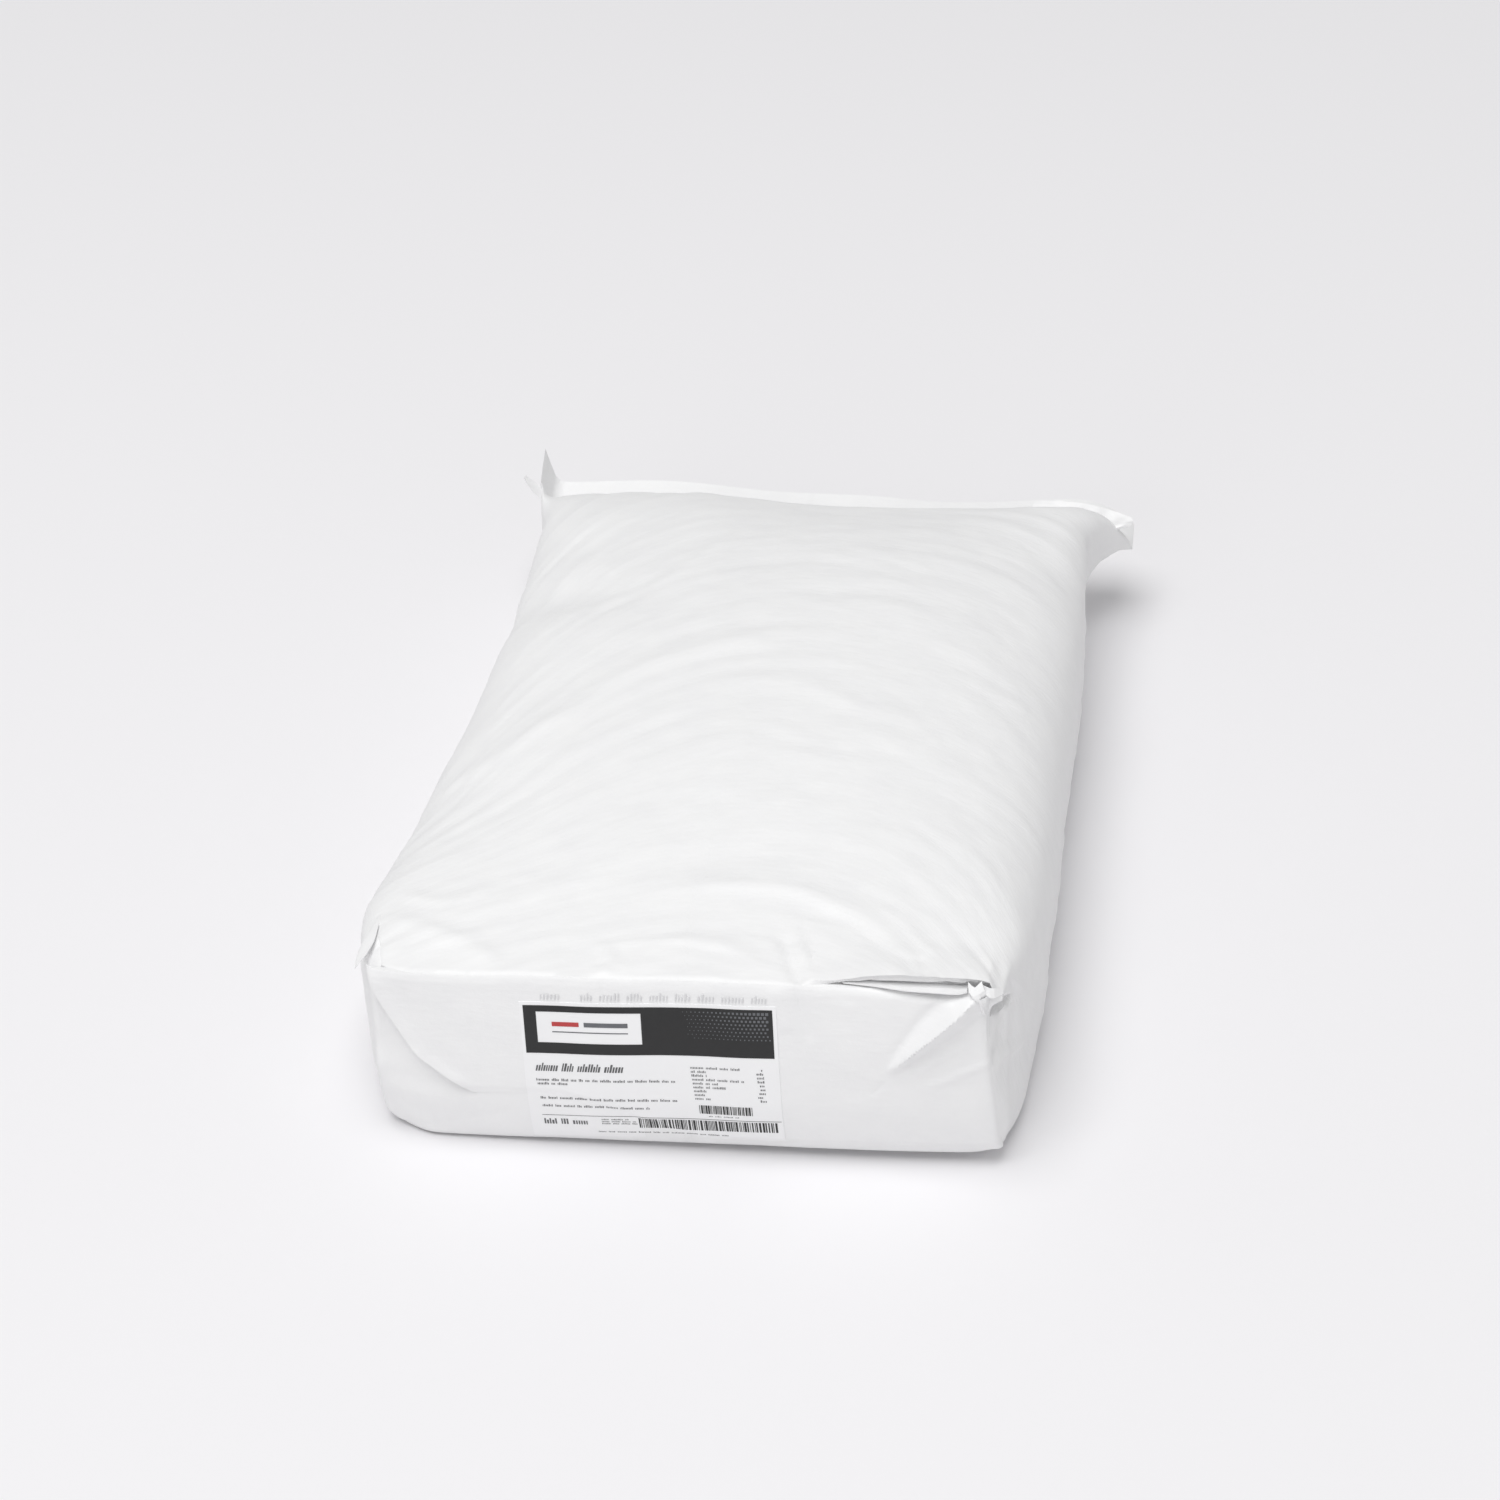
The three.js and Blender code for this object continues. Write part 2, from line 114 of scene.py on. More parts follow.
FLAP_LIFT = {"out": 1.7, "over": 9.0, "gap": 0.7, "low": 38.0, "blend": 14.0, "high": 121.0, "fade": 12.0}
FLAP_ROLL = {"radius": 5.0, "above": 0.4}
FLAP_CELLS = (250, 104)
FLAP_GRAIN_AT = 400.0

# The folded-in paper left of the flap: its depth, and where it fades at its edges
GUSSET = {"deep": 2.4, "over": 10.0, "beside": 6.0, "low": 34.0, "rise": 14.0, "high": 118.0, "fade": 8.0}

# The pleat: a roof-shaped fold that runs down from the mouth's right end; heights and widths from its
# top end to its foot, the bright side above it and the shaded side below
PLEAT = {"start": (172.5, 119.5), "end": (118.5, 64.5), "before": 0.05, "past": 0.04, "blend": 0.08}
PLEAT_VALLEY = {"deep": 0.8, "beyond": 2.0, "wide": 2.2}
PLEAT_AT = np.array([0.0, 0.12, 0.25, 0.5, 0.75, 1.0])
PLEAT_HIGH = np.array([4.0, 8.4, 9.8, 8.2, 5.2, 0.3])
PLEAT_ABOVE = np.array([3.0, 7.0, 10.5, 9.4, 6.3, 2.0])
PLEAT_BELOW = np.array([9.0, 11.5, 11.5, 8.0, 5.5, 3.0])

# The label: its size, middle, turn in degrees, and gap to the paper
LABEL = {"width": 151.0, "height": 98.0, "x": -19.0, "z": 56.5, "turn": 1.2, "thick": 0.5, "gap": 0.25}

# Fine grid of the skin: cells across the top, up a flank, along the body and over the band
ACROSS, UP, ALONG, OVER_BAND = 160, 60, 176, 12
CROWDING = 0.8


def clamp(t):
    return np.clip(t, 0.0, 1.0)


def smooth(t):
    """Zero to one with a level start and end: t squared times three less two t."""
    t = clamp(t)
    return t * t * (3.0 - 2.0 * t)


def mix(a, b, t):
    return a + (b - a) * t


def bell(t):
    """One at the middle, falling to nothing on both sides: e to the power of minus t squared."""
    return np.exp(-np.square(t))


def through(at, values, x):
    """Smooth curve through a few values: cubic pieces whose slopes are the mean of their neighbours."""
    last = len(at) - 1
    before = np.maximum(np.arange(last + 1) - 1, 0)
    after = np.minimum(np.arange(last + 1) + 1, last)
    slopes = (values[after] - values[before]) / (at[after] - at[before])
    i = np.clip(np.searchsorted(at, x) - 1, 0, last - 1)
    width = at[i + 1] - at[i]
    t = clamp((x - at[i]) / width)
    rise = values[i + 1] - values[i]
    start = slopes[i] * width - rise
    end = slopes[i + 1] * width - rise
    return values[i] + rise * t + t * (1 - t) * ((1 - t) * start - t * end)


def crowded(count):
    """Numbers from -1 to 1 that crowd towards both ends: a sine over most of a half turn."""
    quarter = math.pi / 2 * CROWDING
    return np.sin(quarter * np.linspace(-1.0, 1.0, count + 1)) / math.sin(quarter)


def grain_noise(a, b, seed):
    """Soft random hills from -1 to 1: seeded values on a square lattice, joined by smooth steps."""
    values = np.random.default_rng(seed).uniform(-1.0, 1.0, (256, 256))
    i, j = np.floor(a).astype(int), np.floor(b).astype(int)
    s, t = smooth(a - i), smooth(b - j)
    i0, i1, j0, j1 = i % 256, (i + 1) % 256, j % 256, (j + 1) % 256
    low = mix(values[i0, j0], values[i1, j0], s)
    high = mix(values[i0, j1], values[i1, j1], s)
    return mix(low, high, t)


# ---------------------------------------------------------------------------------------------------
# The filled form, by the same formulas as the solids


def flank(y, ear):
    """Half width on one side: the block bottom's, plus what the flank stands out, flaring to the ear."""
    out = through(FLANK_Y, LEFT_OUT if ear["side"] < 0 else RIGHT_OUT, y)
    flare = clamp((y - SEAM_Y + EAR_FLARE) / EAR_FLARE) ** EAR_CURVE
    return mix(END_WIDTH / 2 + out, ear["fold"] + ear["reach"], flare)


def section(y):
    """Top, underside, widest height and squareness of the cross-section, which closes to the seam."""
    far = clamp((y - SEAM_Y + CLOSING_LENGTH) / CLOSING_LENGTH)
    rise = np.sin(clamp(y / CROWN_RISE) * math.pi / 2) ** CROWN_POWER
    fall = CROWN_FALL["drop"] * smooth((y - CROWN_FALL["start"]) / CROWN_FALL["over"])
    crown = mix(END_HEIGHT, CROWN_Z, rise) - fall
    resting = mix(END_HEIGHT / 2, WIDEST["part"] * CROWN_Z, smooth(y / WIDEST["over"]))
    rounding = smooth(y / ROUNDING_LENGTH)
    top = mix(SEAM_Z + PINCH / 2, crown, (1 - far ** CLOSING_TOP[0]) ** CLOSING_TOP[1])
    under = mix(SEAM_Z - PINCH / 2, 0.0, (1 - far ** CLOSING_UNDER[0]) ** CLOSING_UNDER[1])
    widest = mix(resting, SEAM_Z, smooth(far * LEVEL_EARLY))
    top_power = mix(1 / mix(1 / SQUARE, 1 / TOP_ROUND, rounding), FAR_TOP, far**CLOSING_POWER)
    under_power = mix(1 / mix(1 / SQUARE, 1 / UNDER_ROUND, rounding), FAR_UNDER, far**CLOSING_POWER)
    return top, under, widest, top_power, under_power


def rounded(p, q, y):
    """Point (p, q) of the square from -1 to 1, rounded into the section as a superellipse."""
    top, under, widest, top_power, under_power = section(y)
    reach = np.maximum(np.maximum(np.abs(p), np.abs(q)), 1e-9)
    power = np.where(q > 0, top_power, under_power)
    norm = ((np.abs(p) / reach) ** power + (np.abs(q) / reach) ** power) ** (-1 / power)
    half = np.where(p < 0, flank(y, LEFT_EAR), flank(y, RIGHT_EAR))
    height = np.where(q > 0, top - widest, widest - under)
    return half * p * norm, widest + height * q * norm


def curl(distance, radius):
    """How far a face curls back within a rounded edge: a quarter circle of that radius."""
    into = clamp(1 - distance / radius)
    return radius * (1 - np.sqrt(1 - into**2))


def past(length, soft):
    """A length past an edge that begins softly: the log of one plus e to the length over the softness."""
    return soft * np.logaddexp(0.0, length / soft)


def bevel_edge(z):
    """Where the block bottom's right edge lies at a height."""
    return through(BEVEL_Z, BEVEL_X, np.clip(z, BEVEL_Z[0], BEVEL_Z[-1]))


def bends(x, z):
    """How far the left facet and the right bevel bend back: slopes times the lengths past their edges."""
    above = smooth((z - FACET["foot"]) / FACET["over"])
    facet = FACET["slope"] * past(FACET["x"] - x, FACET["soft"]) * above
    return facet + BEVEL["slope"] * past(x - bevel_edge(z), BEVEL["soft"])


def face(p, q):
    """The block bottom's place along Y: a belly, fullest at a third of its height, and rounded edges."""
    height = (q + 1) / 2
    above = clamp((height - BELLY["at"]) / (1 - BELLY["at"]))
    below = clamp((BELLY["at"] - height) / BELLY["at"])
    swell = np.cos(np.maximum(above, below) * math.pi / 2)
    belly = BELLY["tuck"] * below**2 - BELLY["out"] * swell * (1 - clamp(np.abs(p)) ** BELLY["flat"])
    top = curl((1 - q) * END_HEIGHT / 2, TOP_EDGE)
    under = curl((1 + q) * END_HEIGHT / 2, UNDER_EDGE)
    side = curl((1 + np.minimum(p, 0.0)) * END_WIDTH / 2, SIDE_EDGE)
    return belly + top + under + side + bends(p * END_WIDTH / 2, height * END_HEIGHT)


def face_at(x, z):
    return face(x / (END_WIDTH / 2), z / (END_HEIGHT / 2) - 1)


def draw_back(points):
    """The lower left corner of the block bottom is drawn back along Y."""
    left = smooth((-points[..., 0] - CORNER["start"]) / CORNER["over"])
    low = smooth(1 - points[..., 2] / CORNER["height"])
    points[..., 1] += CORNER["pull"] * left * low * (1 - smooth(points[..., 1] / CORNER["fade"]))


def settle(points):
    """The far right shoulder lies lower, and a broad dent runs in from the far left flank."""
    x, y, z = points[..., 0], points[..., 1], points[..., 2]
    across = smooth((x - SHOULDER["start"]) / SHOULDER["over"])
    across *= smooth((SHOULDER["end"] - x) / SHOULDER["over"])
    near = smooth((y - SEAM_Y + SHOULDER["before"]) / SHOULDER["fade"])
    along = (x - DENT["x"]) / DENT["reach"]
    aside = (y - DENT["y"] + DENT["slant"] * (x - DENT["x"])) / DENT["wide"]
    dent = DENT["deep"] * np.exp(-(along**2) - aside**2)
    points[..., 2] -= clamp(z / HIGH) ** 2 * (SHOULDER["drop"] * across * near + dent)


def press(points):
    """The sack's own weight presses its underside flat on the floor."""
    z = points[..., 2]
    points[..., 2] = np.maximum(0.0, z - PRESS["deep"] * (1 - smooth(z / PRESS["height"])))


def mouth(x):
    """How far the slot is open at x: shut at its left end, widest near its right end."""
    return smooth((x - MOUTH["start"]) / MOUTH["over"]) * smooth((MOUTH["end"] - x) / MOUTH["close"])


def raise_fold(points):
    """The top fold rises over the mouth, most at the block bottom and less further back."""
    x, y, z = points[..., 0], points[..., 1], points[..., 2]
    upper = smooth((z - MOUTH["low"]) / (END_HEIGHT - MOUTH["low"]))
    points[..., 2] += MOUTH["rise"] * mouth(x) * upper * (1 - smooth(y / MOUTH["back"]))


def sink_mouth(points):
    """Behind the mouth the face lies deep: a shallow band under the fold, and deeper below it."""
    x, z = points[..., 0], points[..., 2]
    low = np.interp(x, FLAP_TOP_X, FLAP_TOP_Z) - RECESS["under"]
    deeper = mix(RECESS["deep"], RECESS["shallow"], smooth((z - RECESS["level"]) / RECESS["step"]))
    points[..., 1] += deeper * mouth(x) ** RECESS["full"] * smooth((z - low) / RECESS["over"])


def turn_ear(points, ear):
    """A corner of the pinched end, rolled about its fold over an arc and then straight on."""
    beyond = np.maximum(ear["side"] * points[..., 0] - ear["fold"], 0.0)
    angle = np.minimum(beyond / ear["radius"], math.radians(ear["turn"]))
    rest = beyond - ear["radius"] * angle
    out = ear["radius"] * np.sin(angle) + rest * np.cos(angle)
    up = ear["radius"] * (1 - np.cos(angle)) + rest * np.sin(angle)
    near = smooth((points[..., 1] - SEAM_Y + EAR_START) / EAR_BLEND) * (beyond > 0)
    points[..., 0] = mix(points[..., 0], ear["side"] * (ear["fold"] + out), near)
    points[..., 2] += ear["lift"] * near * up


def stand(points):
    """The lean and the lift of the whole sack, but for its underside behind the lower front edge."""
    slope = math.sin(math.radians(STAND["lean"]))
    behind = 1 - (1 - clamp((points[..., 1] - STAND["front"]) / STAND["back"])) ** 2
    resting = behind * (1 - smooth(points[..., 2] / STAND["height"]))
    raised = (1 - resting) * (STAND["lift"] + slope * points[..., 0])
    points[..., 0] -= slope * points[..., 2]
    points[..., 2] += raised


# ---------------------------------------------------------------------------------------------------
# What handling did to the paper

# Creases that show on the top: places (x, y), height, and width on their near and far sides. The near
# ones are the crisp folds over the mouth, the others the long streaks further back
TOP_CREASES = [
    ([(-46, 0), (-44, 14), (-52, 34)], 1.35, 3.0, 6.0),
    ([(70, -2), (62, 20), (54, 46)], -1.95, 3.0, 6.0),
    ([(77, -2), (72, 18), (62, 40)], 1.2, 4.0, 6.0),
    ([(-30, 80), (20, 86), (62, 82), (98, 60), (118, 38), (131, 12)], 2.25, 4.0, 11.0),
    ([(51, 66), (93, 58), (113, 39), (124, 24)], -1.2, 4.0, 5.0),
    ([(136, 26), (140, 14), (141, 2)], -1.35, 2.4, 3.0),
    ([(120, 30), (131, 18), (137, 4)], -1.35, 2.0, 2.6),
    ([(64, 60), (72, 34), (77, 8)], -1.35, 1.8, 2.4),
    ([(104, 76), (122, 60), (136, 40), (150, 24)], 1.2, 2.0, 5.0),
    ([(-60, 26), (-20, 34), (20, 30), (48, 18)], 1.05, 2.5, 8.0),
    ([(-184, 76), (-160, 64), (-140, 66), (-118, 84)], 1.2, 2.5, 7.0),
    ([(-166, 40), (-136, 54), (-109, 66), (-78, 82), (-40, 92)], 1.2, 5.0, 12.0),
    ([(-188, 54), (-160, 40), (-128, 26), (-104, 6)], 1.65, 9.0, 7.0),
    ([(-188, 200), (-143, 228), (-103, 278)], 1.2, 5.0, 8.0),
    ([(-146, 226), (-102, 274), (-73, 314), (-20, 352), (20, 366)], 1.5, 6.0, 9.0),
    ([(-132, 399), (-109, 418), (-84, 437)], 0.9, 5.0, 7.0),
    ([(-83, 424), (-62, 462), (-41, 503), (-35, 551)], 1.05, 5.0, 7.0),
    ([(14, 255), (51, 240), (90, 234)], 1.2, 6.0, 9.0),
    ([(40, 306), (61, 289), (80, 282)], 0.9, 5.0, 7.0),
    ([(123, 336), (162, 322), (186, 318)], 1.05, 5.0, 7.0),
    ([(44, 512), (79, 495), (111, 471)], 0.9, 5.0, 8.0),
]

# Tension arcs over the top: the middle they bend about, and how fast they bend on each side
ARC_MIDDLE = 30.0
ARC_LEFT = (0.0018, 0.0046)
ARC_RIGHT = (0.0052, 0.0022)
ARC_CHANGE = 200.0

# Ridges along the arcs: how many, and the ranges of their widths, lengths and heights. Finer hills:
# height, length along the arcs and across them, and seed
TOP_STREAKS = {"seed": 11, "count": 170, "widths": (4.0, 8.5), "lengths": (18.0, 60.0), "heights": (0.2, 0.7)}
TOP_HILLS = [(0.5, 46, 17, 21), (0.32, 21, 8, 22), (0.2, 9, 5, 23)]


def arc_place(x, y):
    """A number that is the same all along one arc: y plus a parabola in x, flatter or steeper by side."""
    dx = x - ARC_MIDDLE
    change = smooth(y / ARC_CHANGE)
    bend = np.where(dx < 0, mix(*ARC_LEFT, change), mix(*ARC_RIGHT, change))
    return y + bend * dx**2


# Where streaks may lie: across the sack, and by the number of their arc
STREAKS_ACROSS, STREAKS_ALONG = (-190, 195), (10, 760)

# The part of a crease over which its height fades at each end
CREASE_END = 0.2


def curve_through(path, count=28):
    """Points along a smooth curve through a few places."""
    path = np.array(path, float)
    at = np.arange(len(path), dtype=float)
    t = np.linspace(0.0, len(path) - 1.0, count)
    return np.stack([through(at, path[:, k], t) for k in range(path.shape[1])], -1)


def crease(x, y, path, high, near, far):
    """Height of one crease: a bell across its curve, of one width before it and another behind it,
    fading over the first and last part of its length."""
    line = curve_through(path)
    best = np.full(x.shape, 1e9)
    side = np.zeros(x.shape)
    part = np.zeros(x.shape)
    for i in range(len(line) - 1):
        start, run = line[i], line[i + 1] - line[i]
        t = clamp(((x - start[0]) * run[0] + (y - start[1]) * run[1]) / run.dot(run))
        dx, dy = x - start[0] - t * run[0], y - start[1] - t * run[1]
        apart = np.hypot(dx, dy)
        closer = apart < best
        best = np.where(closer, apart, best)
        side = np.where(closer, np.sign(dy), side)
        part = np.where(closer, (i + t) / (len(line) - 1), part)
    ends = smooth(part / CREASE_END) * smooth((1 - part) / CREASE_END)
    return high * bell(best / np.where(side < 0, near, far)) * ends


def streaks(x, c, seed, count, widths, lengths, heights):
    """Many small ridges along the arcs, each a bell across its arc and a longer bell along it."""
    draw = np.random.default_rng(seed)
    total = np.zeros(x.shape)
    for _ in range(count):
        at_x, at_c = draw.uniform(*STREAKS_ACROSS), draw.uniform(*STREAKS_ALONG)
        width, length = draw.uniform(*widths), draw.uniform(*lengths)
        high = draw.uniform(*heights) * draw.choice([-1.0, 1.0])
        near = np.abs(c - at_c) < 3 * width
        total[near] += high * bell((c[near] - at_c) / width) * bell((x[near] - at_x) / length)
    return total


def top_relief(x, y):
    """Wrinkles over the top: named creases, streaks along the arcs and fine crumple."""
    c = arc_place(x, y)
    total = streaks(x, c, **TOP_STREAKS)
    for high, along, across, seed in TOP_HILLS:
        total += high * grain_noise(x / along, c / across, seed)
    for one in TOP_CREASES:
        total += crease(x, y, *one)
    return total


# Creases of the right side, as places (y, z): the crisp one under the top corner, the fold that goes on
# from the face, facets under the hole, and streaks down from the shoulder
SIDE_CREASES = [
    ([(26, 117), (38, 98), (58, 76), (90, 47)], 1.0, 2.0, 5.0),
    ([(0, 63), (14, 66), (30, 60), (54, 50)], 1.5, 3.5, 4.0),
    ([(0, 71), (8, 74), (22, 70)], -1.4, 3.0, 3.0),
    ([(10, 100), (7, 90), (3, 78)], 1.2, 3.0, 4.0),
    ([(20, 94), (13, 84), (14, 74)], -1.2, 3.0, 4.0),
    ([(36, 84), (28, 74), (20, 66)], -0.8, 5.0, 4.0),
    ([(108, 120), (100, 116), (92, 106), (82, 92)], 0.9, 3.0, 6.0),
    ([(88, 120), (72, 110), (58, 100), (50, 90)], 0.8, 3.0, 5.0),
    ([(128, 114), (126, 102), (140, 84), (150, 70)], 1.0, 3.0, 7.0),
    ([(0, 40), (12, 30), (26, 28)], 0.9, 3.0, 4.0),
    ([(2, 14), (16, 20), (34, 16)], 1.0, 3.0, 4.0),
    ([(536, 112), (528, 104), (522, 92)], 1.0, 3.0, 5.0),
]

# The hole under the top corner narrows and grows shallower along its length
SIDE_HOLE = {"start": (-1.0, 108.5), "end": (27.0, 98.0), "wide": 4.4, "deep": 11.0}
HOLE_END = {"narrower": 0.65, "shallower": 0.7, "floor": 1.6}

# Seeds of the flanks' wrinkles, and how much of a second layer the right side has
FLANK_SEED, SIDE_EXTRA = 51, {"part": 0.8, "seed": 54}

# The left side turns to the face along an upright crease
LEFT_SIDE_CREASE = ([(0, 70), (1, 45), (2, 20), (6, 6)], 1.0, 2.5, 5.0)

# Hills of a flank: height, length across their slant and along it, and how much they run aside with y
FLANK_SLANT = 0.7
FLANK_HILLS = [(0.7, 52, 30, 0.0), (0.45, 15, 46, 0.4), (0.26, 7, 19, 0.4)]


def flank_relief(y, z, seed):
    """Wrinkles of a flank: slanting hills, long thin folds and fine crumple."""
    slant = y + FLANK_SLANT * z
    hills = enumerate(FLANK_HILLS)
    return sum(h * grain_noise(slant / a, (z - aside * y) / b, seed + k) for k, (h, a, b, aside) in hills)


def side_relief(y, z):
    """The right side's own creases and the hole under its top corner, which is a slanting slit."""
    total = sum(crease(y, z, *one) for one in SIDE_CREASES)
    start, end = np.array(SIDE_HOLE["start"]), np.array(SIDE_HOLE["end"])
    run = end - start
    part = clamp(((y - start[0]) * run[0] + (z - start[1]) * run[1]) / run.dot(run))
    apart = np.hypot(y - start[0] - part * run[0], z - start[1] - part * run[1])
    wide = SIDE_HOLE["wide"] * (1 - HOLE_END["narrower"] * part)
    deep = SIDE_HOLE["deep"] * (1 - HOLE_END["shallower"] * part)
    return total - deep * smooth(HOLE_END["floor"] - apart / wide)


def right_side_relief(y, z):
    """The right side's creases and hole, over a second layer of flank wrinkles."""
    return side_relief(y, z) + SIDE_EXTRA["part"] * flank_relief(y, z, SIDE_EXTRA["seed"])


# The way the bevel faces: across its slope. Its wrinkles fade past its edge and towards floor and top
BEVEL_RIM = {"past": 0.5, "over": 3.0, "low": 12.0, "high": 6.0}
BEVEL_NORMAL = np.array([BEVEL["slope"], -1.0, 0.0]) / math.hypot(BEVEL["slope"], 1.0)


def bevel_relief(points):
    """The side's wrinkles on the part of it that the bevel makes, fading towards the face's edge."""
    x, y, z = points[..., 0], points[..., 1], points[..., 2]
    turned = smooth((x - bevel_edge(z) - BEVEL_RIM["past"]) / BEVEL_RIM["over"])
    turned *= smooth(z / BEVEL_RIM["low"]) * smooth((END_HEIGHT - z) / BEVEL_RIM["high"])
    return turned * (flank_relief(y, z, FLANK_SEED) + right_side_relief(y, z))


def gusset(x, z):
    """How far the folded-in paper lies behind the flap's free left edge, up to the left side."""
    beside = smooth((free_edge(z) + GUSSET["beside"] - x) / GUSSET["beside"])
    inside = beside * smooth((x + END_WIDTH / 2) / GUSSET["over"])
    upper = smooth((z - GUSSET["low"]) / GUSSET["rise"]) * smooth((GUSSET["high"] - z) / GUSSET["fade"])
    return GUSSET["deep"] * inside * upper


# Lengths over which the face's unevenness fades from its lower edge, its sides and its top fold
FACE_FADE = (14, 14, 8)


def face_relief(x, z):
    """Soft unevenness of the block bottom, towards the viewer, fading at its edges."""
    total = 0.6 * grain_noise(x / 60 + 7.3, z / 45 + 2.1, 31)
    total += 0.16 * grain_noise(x / 19, z / 13, 32)
    low, beside, high = FACE_FADE
    inside = smooth((END_WIDTH / 2 - np.abs(x)) / beside) * smooth(z / low) * smooth((END_HEIGHT - z) / high)
    return total * inside


def wobble(points):
    """A slow unevenness of the whole skin, a few tenths of a millimetre, the same for every piece."""
    x, y, z = points[..., 0], points[..., 1], points[..., 2]
    upper, near, beside = smooth(z / 40), 1 - smooth(y / 60), smooth(np.abs(x) / 150)
    points[..., 2] += 0.7 * grain_noise(x / 43, y / 61, 41) * upper
    points[..., 1] += 0.4 * grain_noise(x / 37, z / 40, 42) * near
    points[..., 0] += 0.9 * grain_noise(y / 57, z / 45 + 9, 43) * beside


# ---------------------------------------------------------------------------------------------------
# Meshes


def quads(index):
    """One quad for each cell of a grid of vertex numbers, facing along its rows crossed with columns."""
    cells = [index[:-1, :-1], index[1:, :-1], index[1:, 1:], index[:-1, 1:]]
    return np.stack(cells, -1).reshape(-1, 4)


def piece(name, points, faces, material, slot, node, grain=None, sharp=35.0):
    """A mesh object from points in the sack's frame, which are stood on the floor and put in the shared
    frame. grain is a UV for each point, in metres."""
    mesh = bpy.data.meshes.new(name)
    placed = np.array(points, float).reshape(-1, 3)
    stand(placed)
    mesh.from_pydata(((placed + SACK_AT) * MM).tolist(), [], [list(f) for f in faces])
    mesh.materials.append(material)
    mesh.polygons.foreach_set("use_smooth", np.ones(len(mesh.polygons), bool))
    mesh.set_sharp_from_angle(angle=math.radians(sharp))
    if grain is not None:
        corners = np.zeros(len(mesh.loops), np.int32)
        mesh.loops.foreach_get("vertex_index", corners)
        layer = mesh.uv_layers.new(name="grain")
        places = np.asarray(grain).reshape(-1, 2)[corners] * MM
        layer.data.foreach_set("uv", places.astype(np.float32).ravel())
    mesh.validate()
    made = bpy.data.objects.new(name, mesh)
    bpy.context.scene.collection.objects.link(made)
    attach(made, "root")
    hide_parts(node)
    return made


def slab(front, back):
    """Points and faces of a closed sheet between two grids: both sides and the four rims."""
    columns, rows = front.shape[:2]
    near = np.arange(columns * rows).reshape(columns, rows)
    far = near + columns * rows
    rims = [
        np.stack([far[:, 0], near[:, 0]], 1),
        np.stack([near[:, -1], far[:, -1]], 1),
        np.stack([near[0], far[0]], 1),
        np.stack([far[-1], near[-1]], 1),
    ]
    faces = [quads(near), quads(far)[:, ::-1]] + [quads(rim) for rim in rims]
    points = np.concatenate([front.reshape(-1, 3), back.reshape(-1, 3)])
    return points, np.concatenate(faces)


def square_ring():
    """The square's edge as a ring of (p, q), from its top left corner over the top and down the right."""
    across, up = crowded(ACROSS)[:-1], crowded(UP)[:-1]
    sides = [(across, 1 + 0 * across), (1 + 0 * up, -up), (-across, -1 + 0 * across), (-1 + 0 * up, up)]
    return np.concatenate([s[0] for s in sides]), np.concatenate([s[1] for s in sides])


def outward(rings):
    """Unit normals of the rings' surface: the step round the ring crossed with the step along."""
    across = np.roll(rings, -1, axis=1) - np.roll(rings, 1, axis=1)
    along = np.gradient(rings, axis=0)
    normal = np.cross(across, along)
    return normal / np.maximum(np.linalg.norm(normal, axis=-1, keepdims=True), 1e-9)


def stations():
    """Places along the sack, crowded towards both ends, then even over the band."""
    body = (crowded(ALONG) + 1) / 2 * SEAM_Y
    band = SEAM_Y + BAND_WIDTH * np.arange(1, OVER_BAND + 1) / OVER_BAND
    return np.concatenate([body, band])


def tube_rings():
    """Rings of the filled tube and the band: sections along Y, the face's offset faded in near the
    block bottom, the band turned up past the seam, then the corner, shoulder and floor."""
    p, q = square_ring()
    along = stations()[:, None]
    y = np.minimum(along, SEAM_Y)
    x, z = rounded(p, q, y)
    on_band = along - y
    turned = smooth((x - BAND_TILT["start"]) / BAND_TILT["over"])
    tilt = np.radians(mix(BAND_TILT["left"], BAND_TILT["right"], turned))
    wave = BAND_WAVE["rise"] * on_band / BAND_WIDTH * np.sin(x / BAND_WAVE["length"])
    depth = y + face(p, q) * (1 - smooth(y / EDGE_BLEND)) + on_band * np.cos(tilt)
    rings = np.stack([x, depth, z + on_band * np.sin(tilt) + wave], -1)
    draw_back(rings)
    settle(rings)
    press(rings)
    return rings


# Where the skin's relief belongs to the top or to a side, and where and how far it fades
RELIEF = {"upward": 1.6, "aside": 0.3, "low": 20, "before": 2, "near": 6, "seam": 8, "pressed": 0.75}


def skin_relief(rings):
    """How far the paper stands off the plain form, by place: top, flanks and ends have their own. It
    fades at the block bottom's edges, near the floor and on the pressed band."""
    x, y, z = rings[..., 0], rings[..., 1], rings[..., 2]
    normal = outward(rings)
    upward = smooth(normal[..., 2] * RELIEF["upward"])
    aside = (1 - upward) * smooth(z / RELIEF["low"])
    left, right = normal[..., 0] < -RELIEF["aside"], normal[..., 0] > RELIEF["aside"]
    total = upward * top_relief(x, y)
    total += aside * flank_relief(y, z, FLANK_SEED)
    total += aside * right * right_side_relief(y, z)
    total += aside * left * crease(y, z, *LEFT_SIDE_CREASE)
    pressed = RELIEF["pressed"] * smooth((y - SEAM_Y + RELIEF["seam"]) / RELIEF["seam"])
    return total * smooth((y + RELIEF["before"]) / RELIEF["near"]) * (1 - pressed), normal


# How far the paper's grain slants down a flank, for each length down it
GRAIN_FALL = 0.5


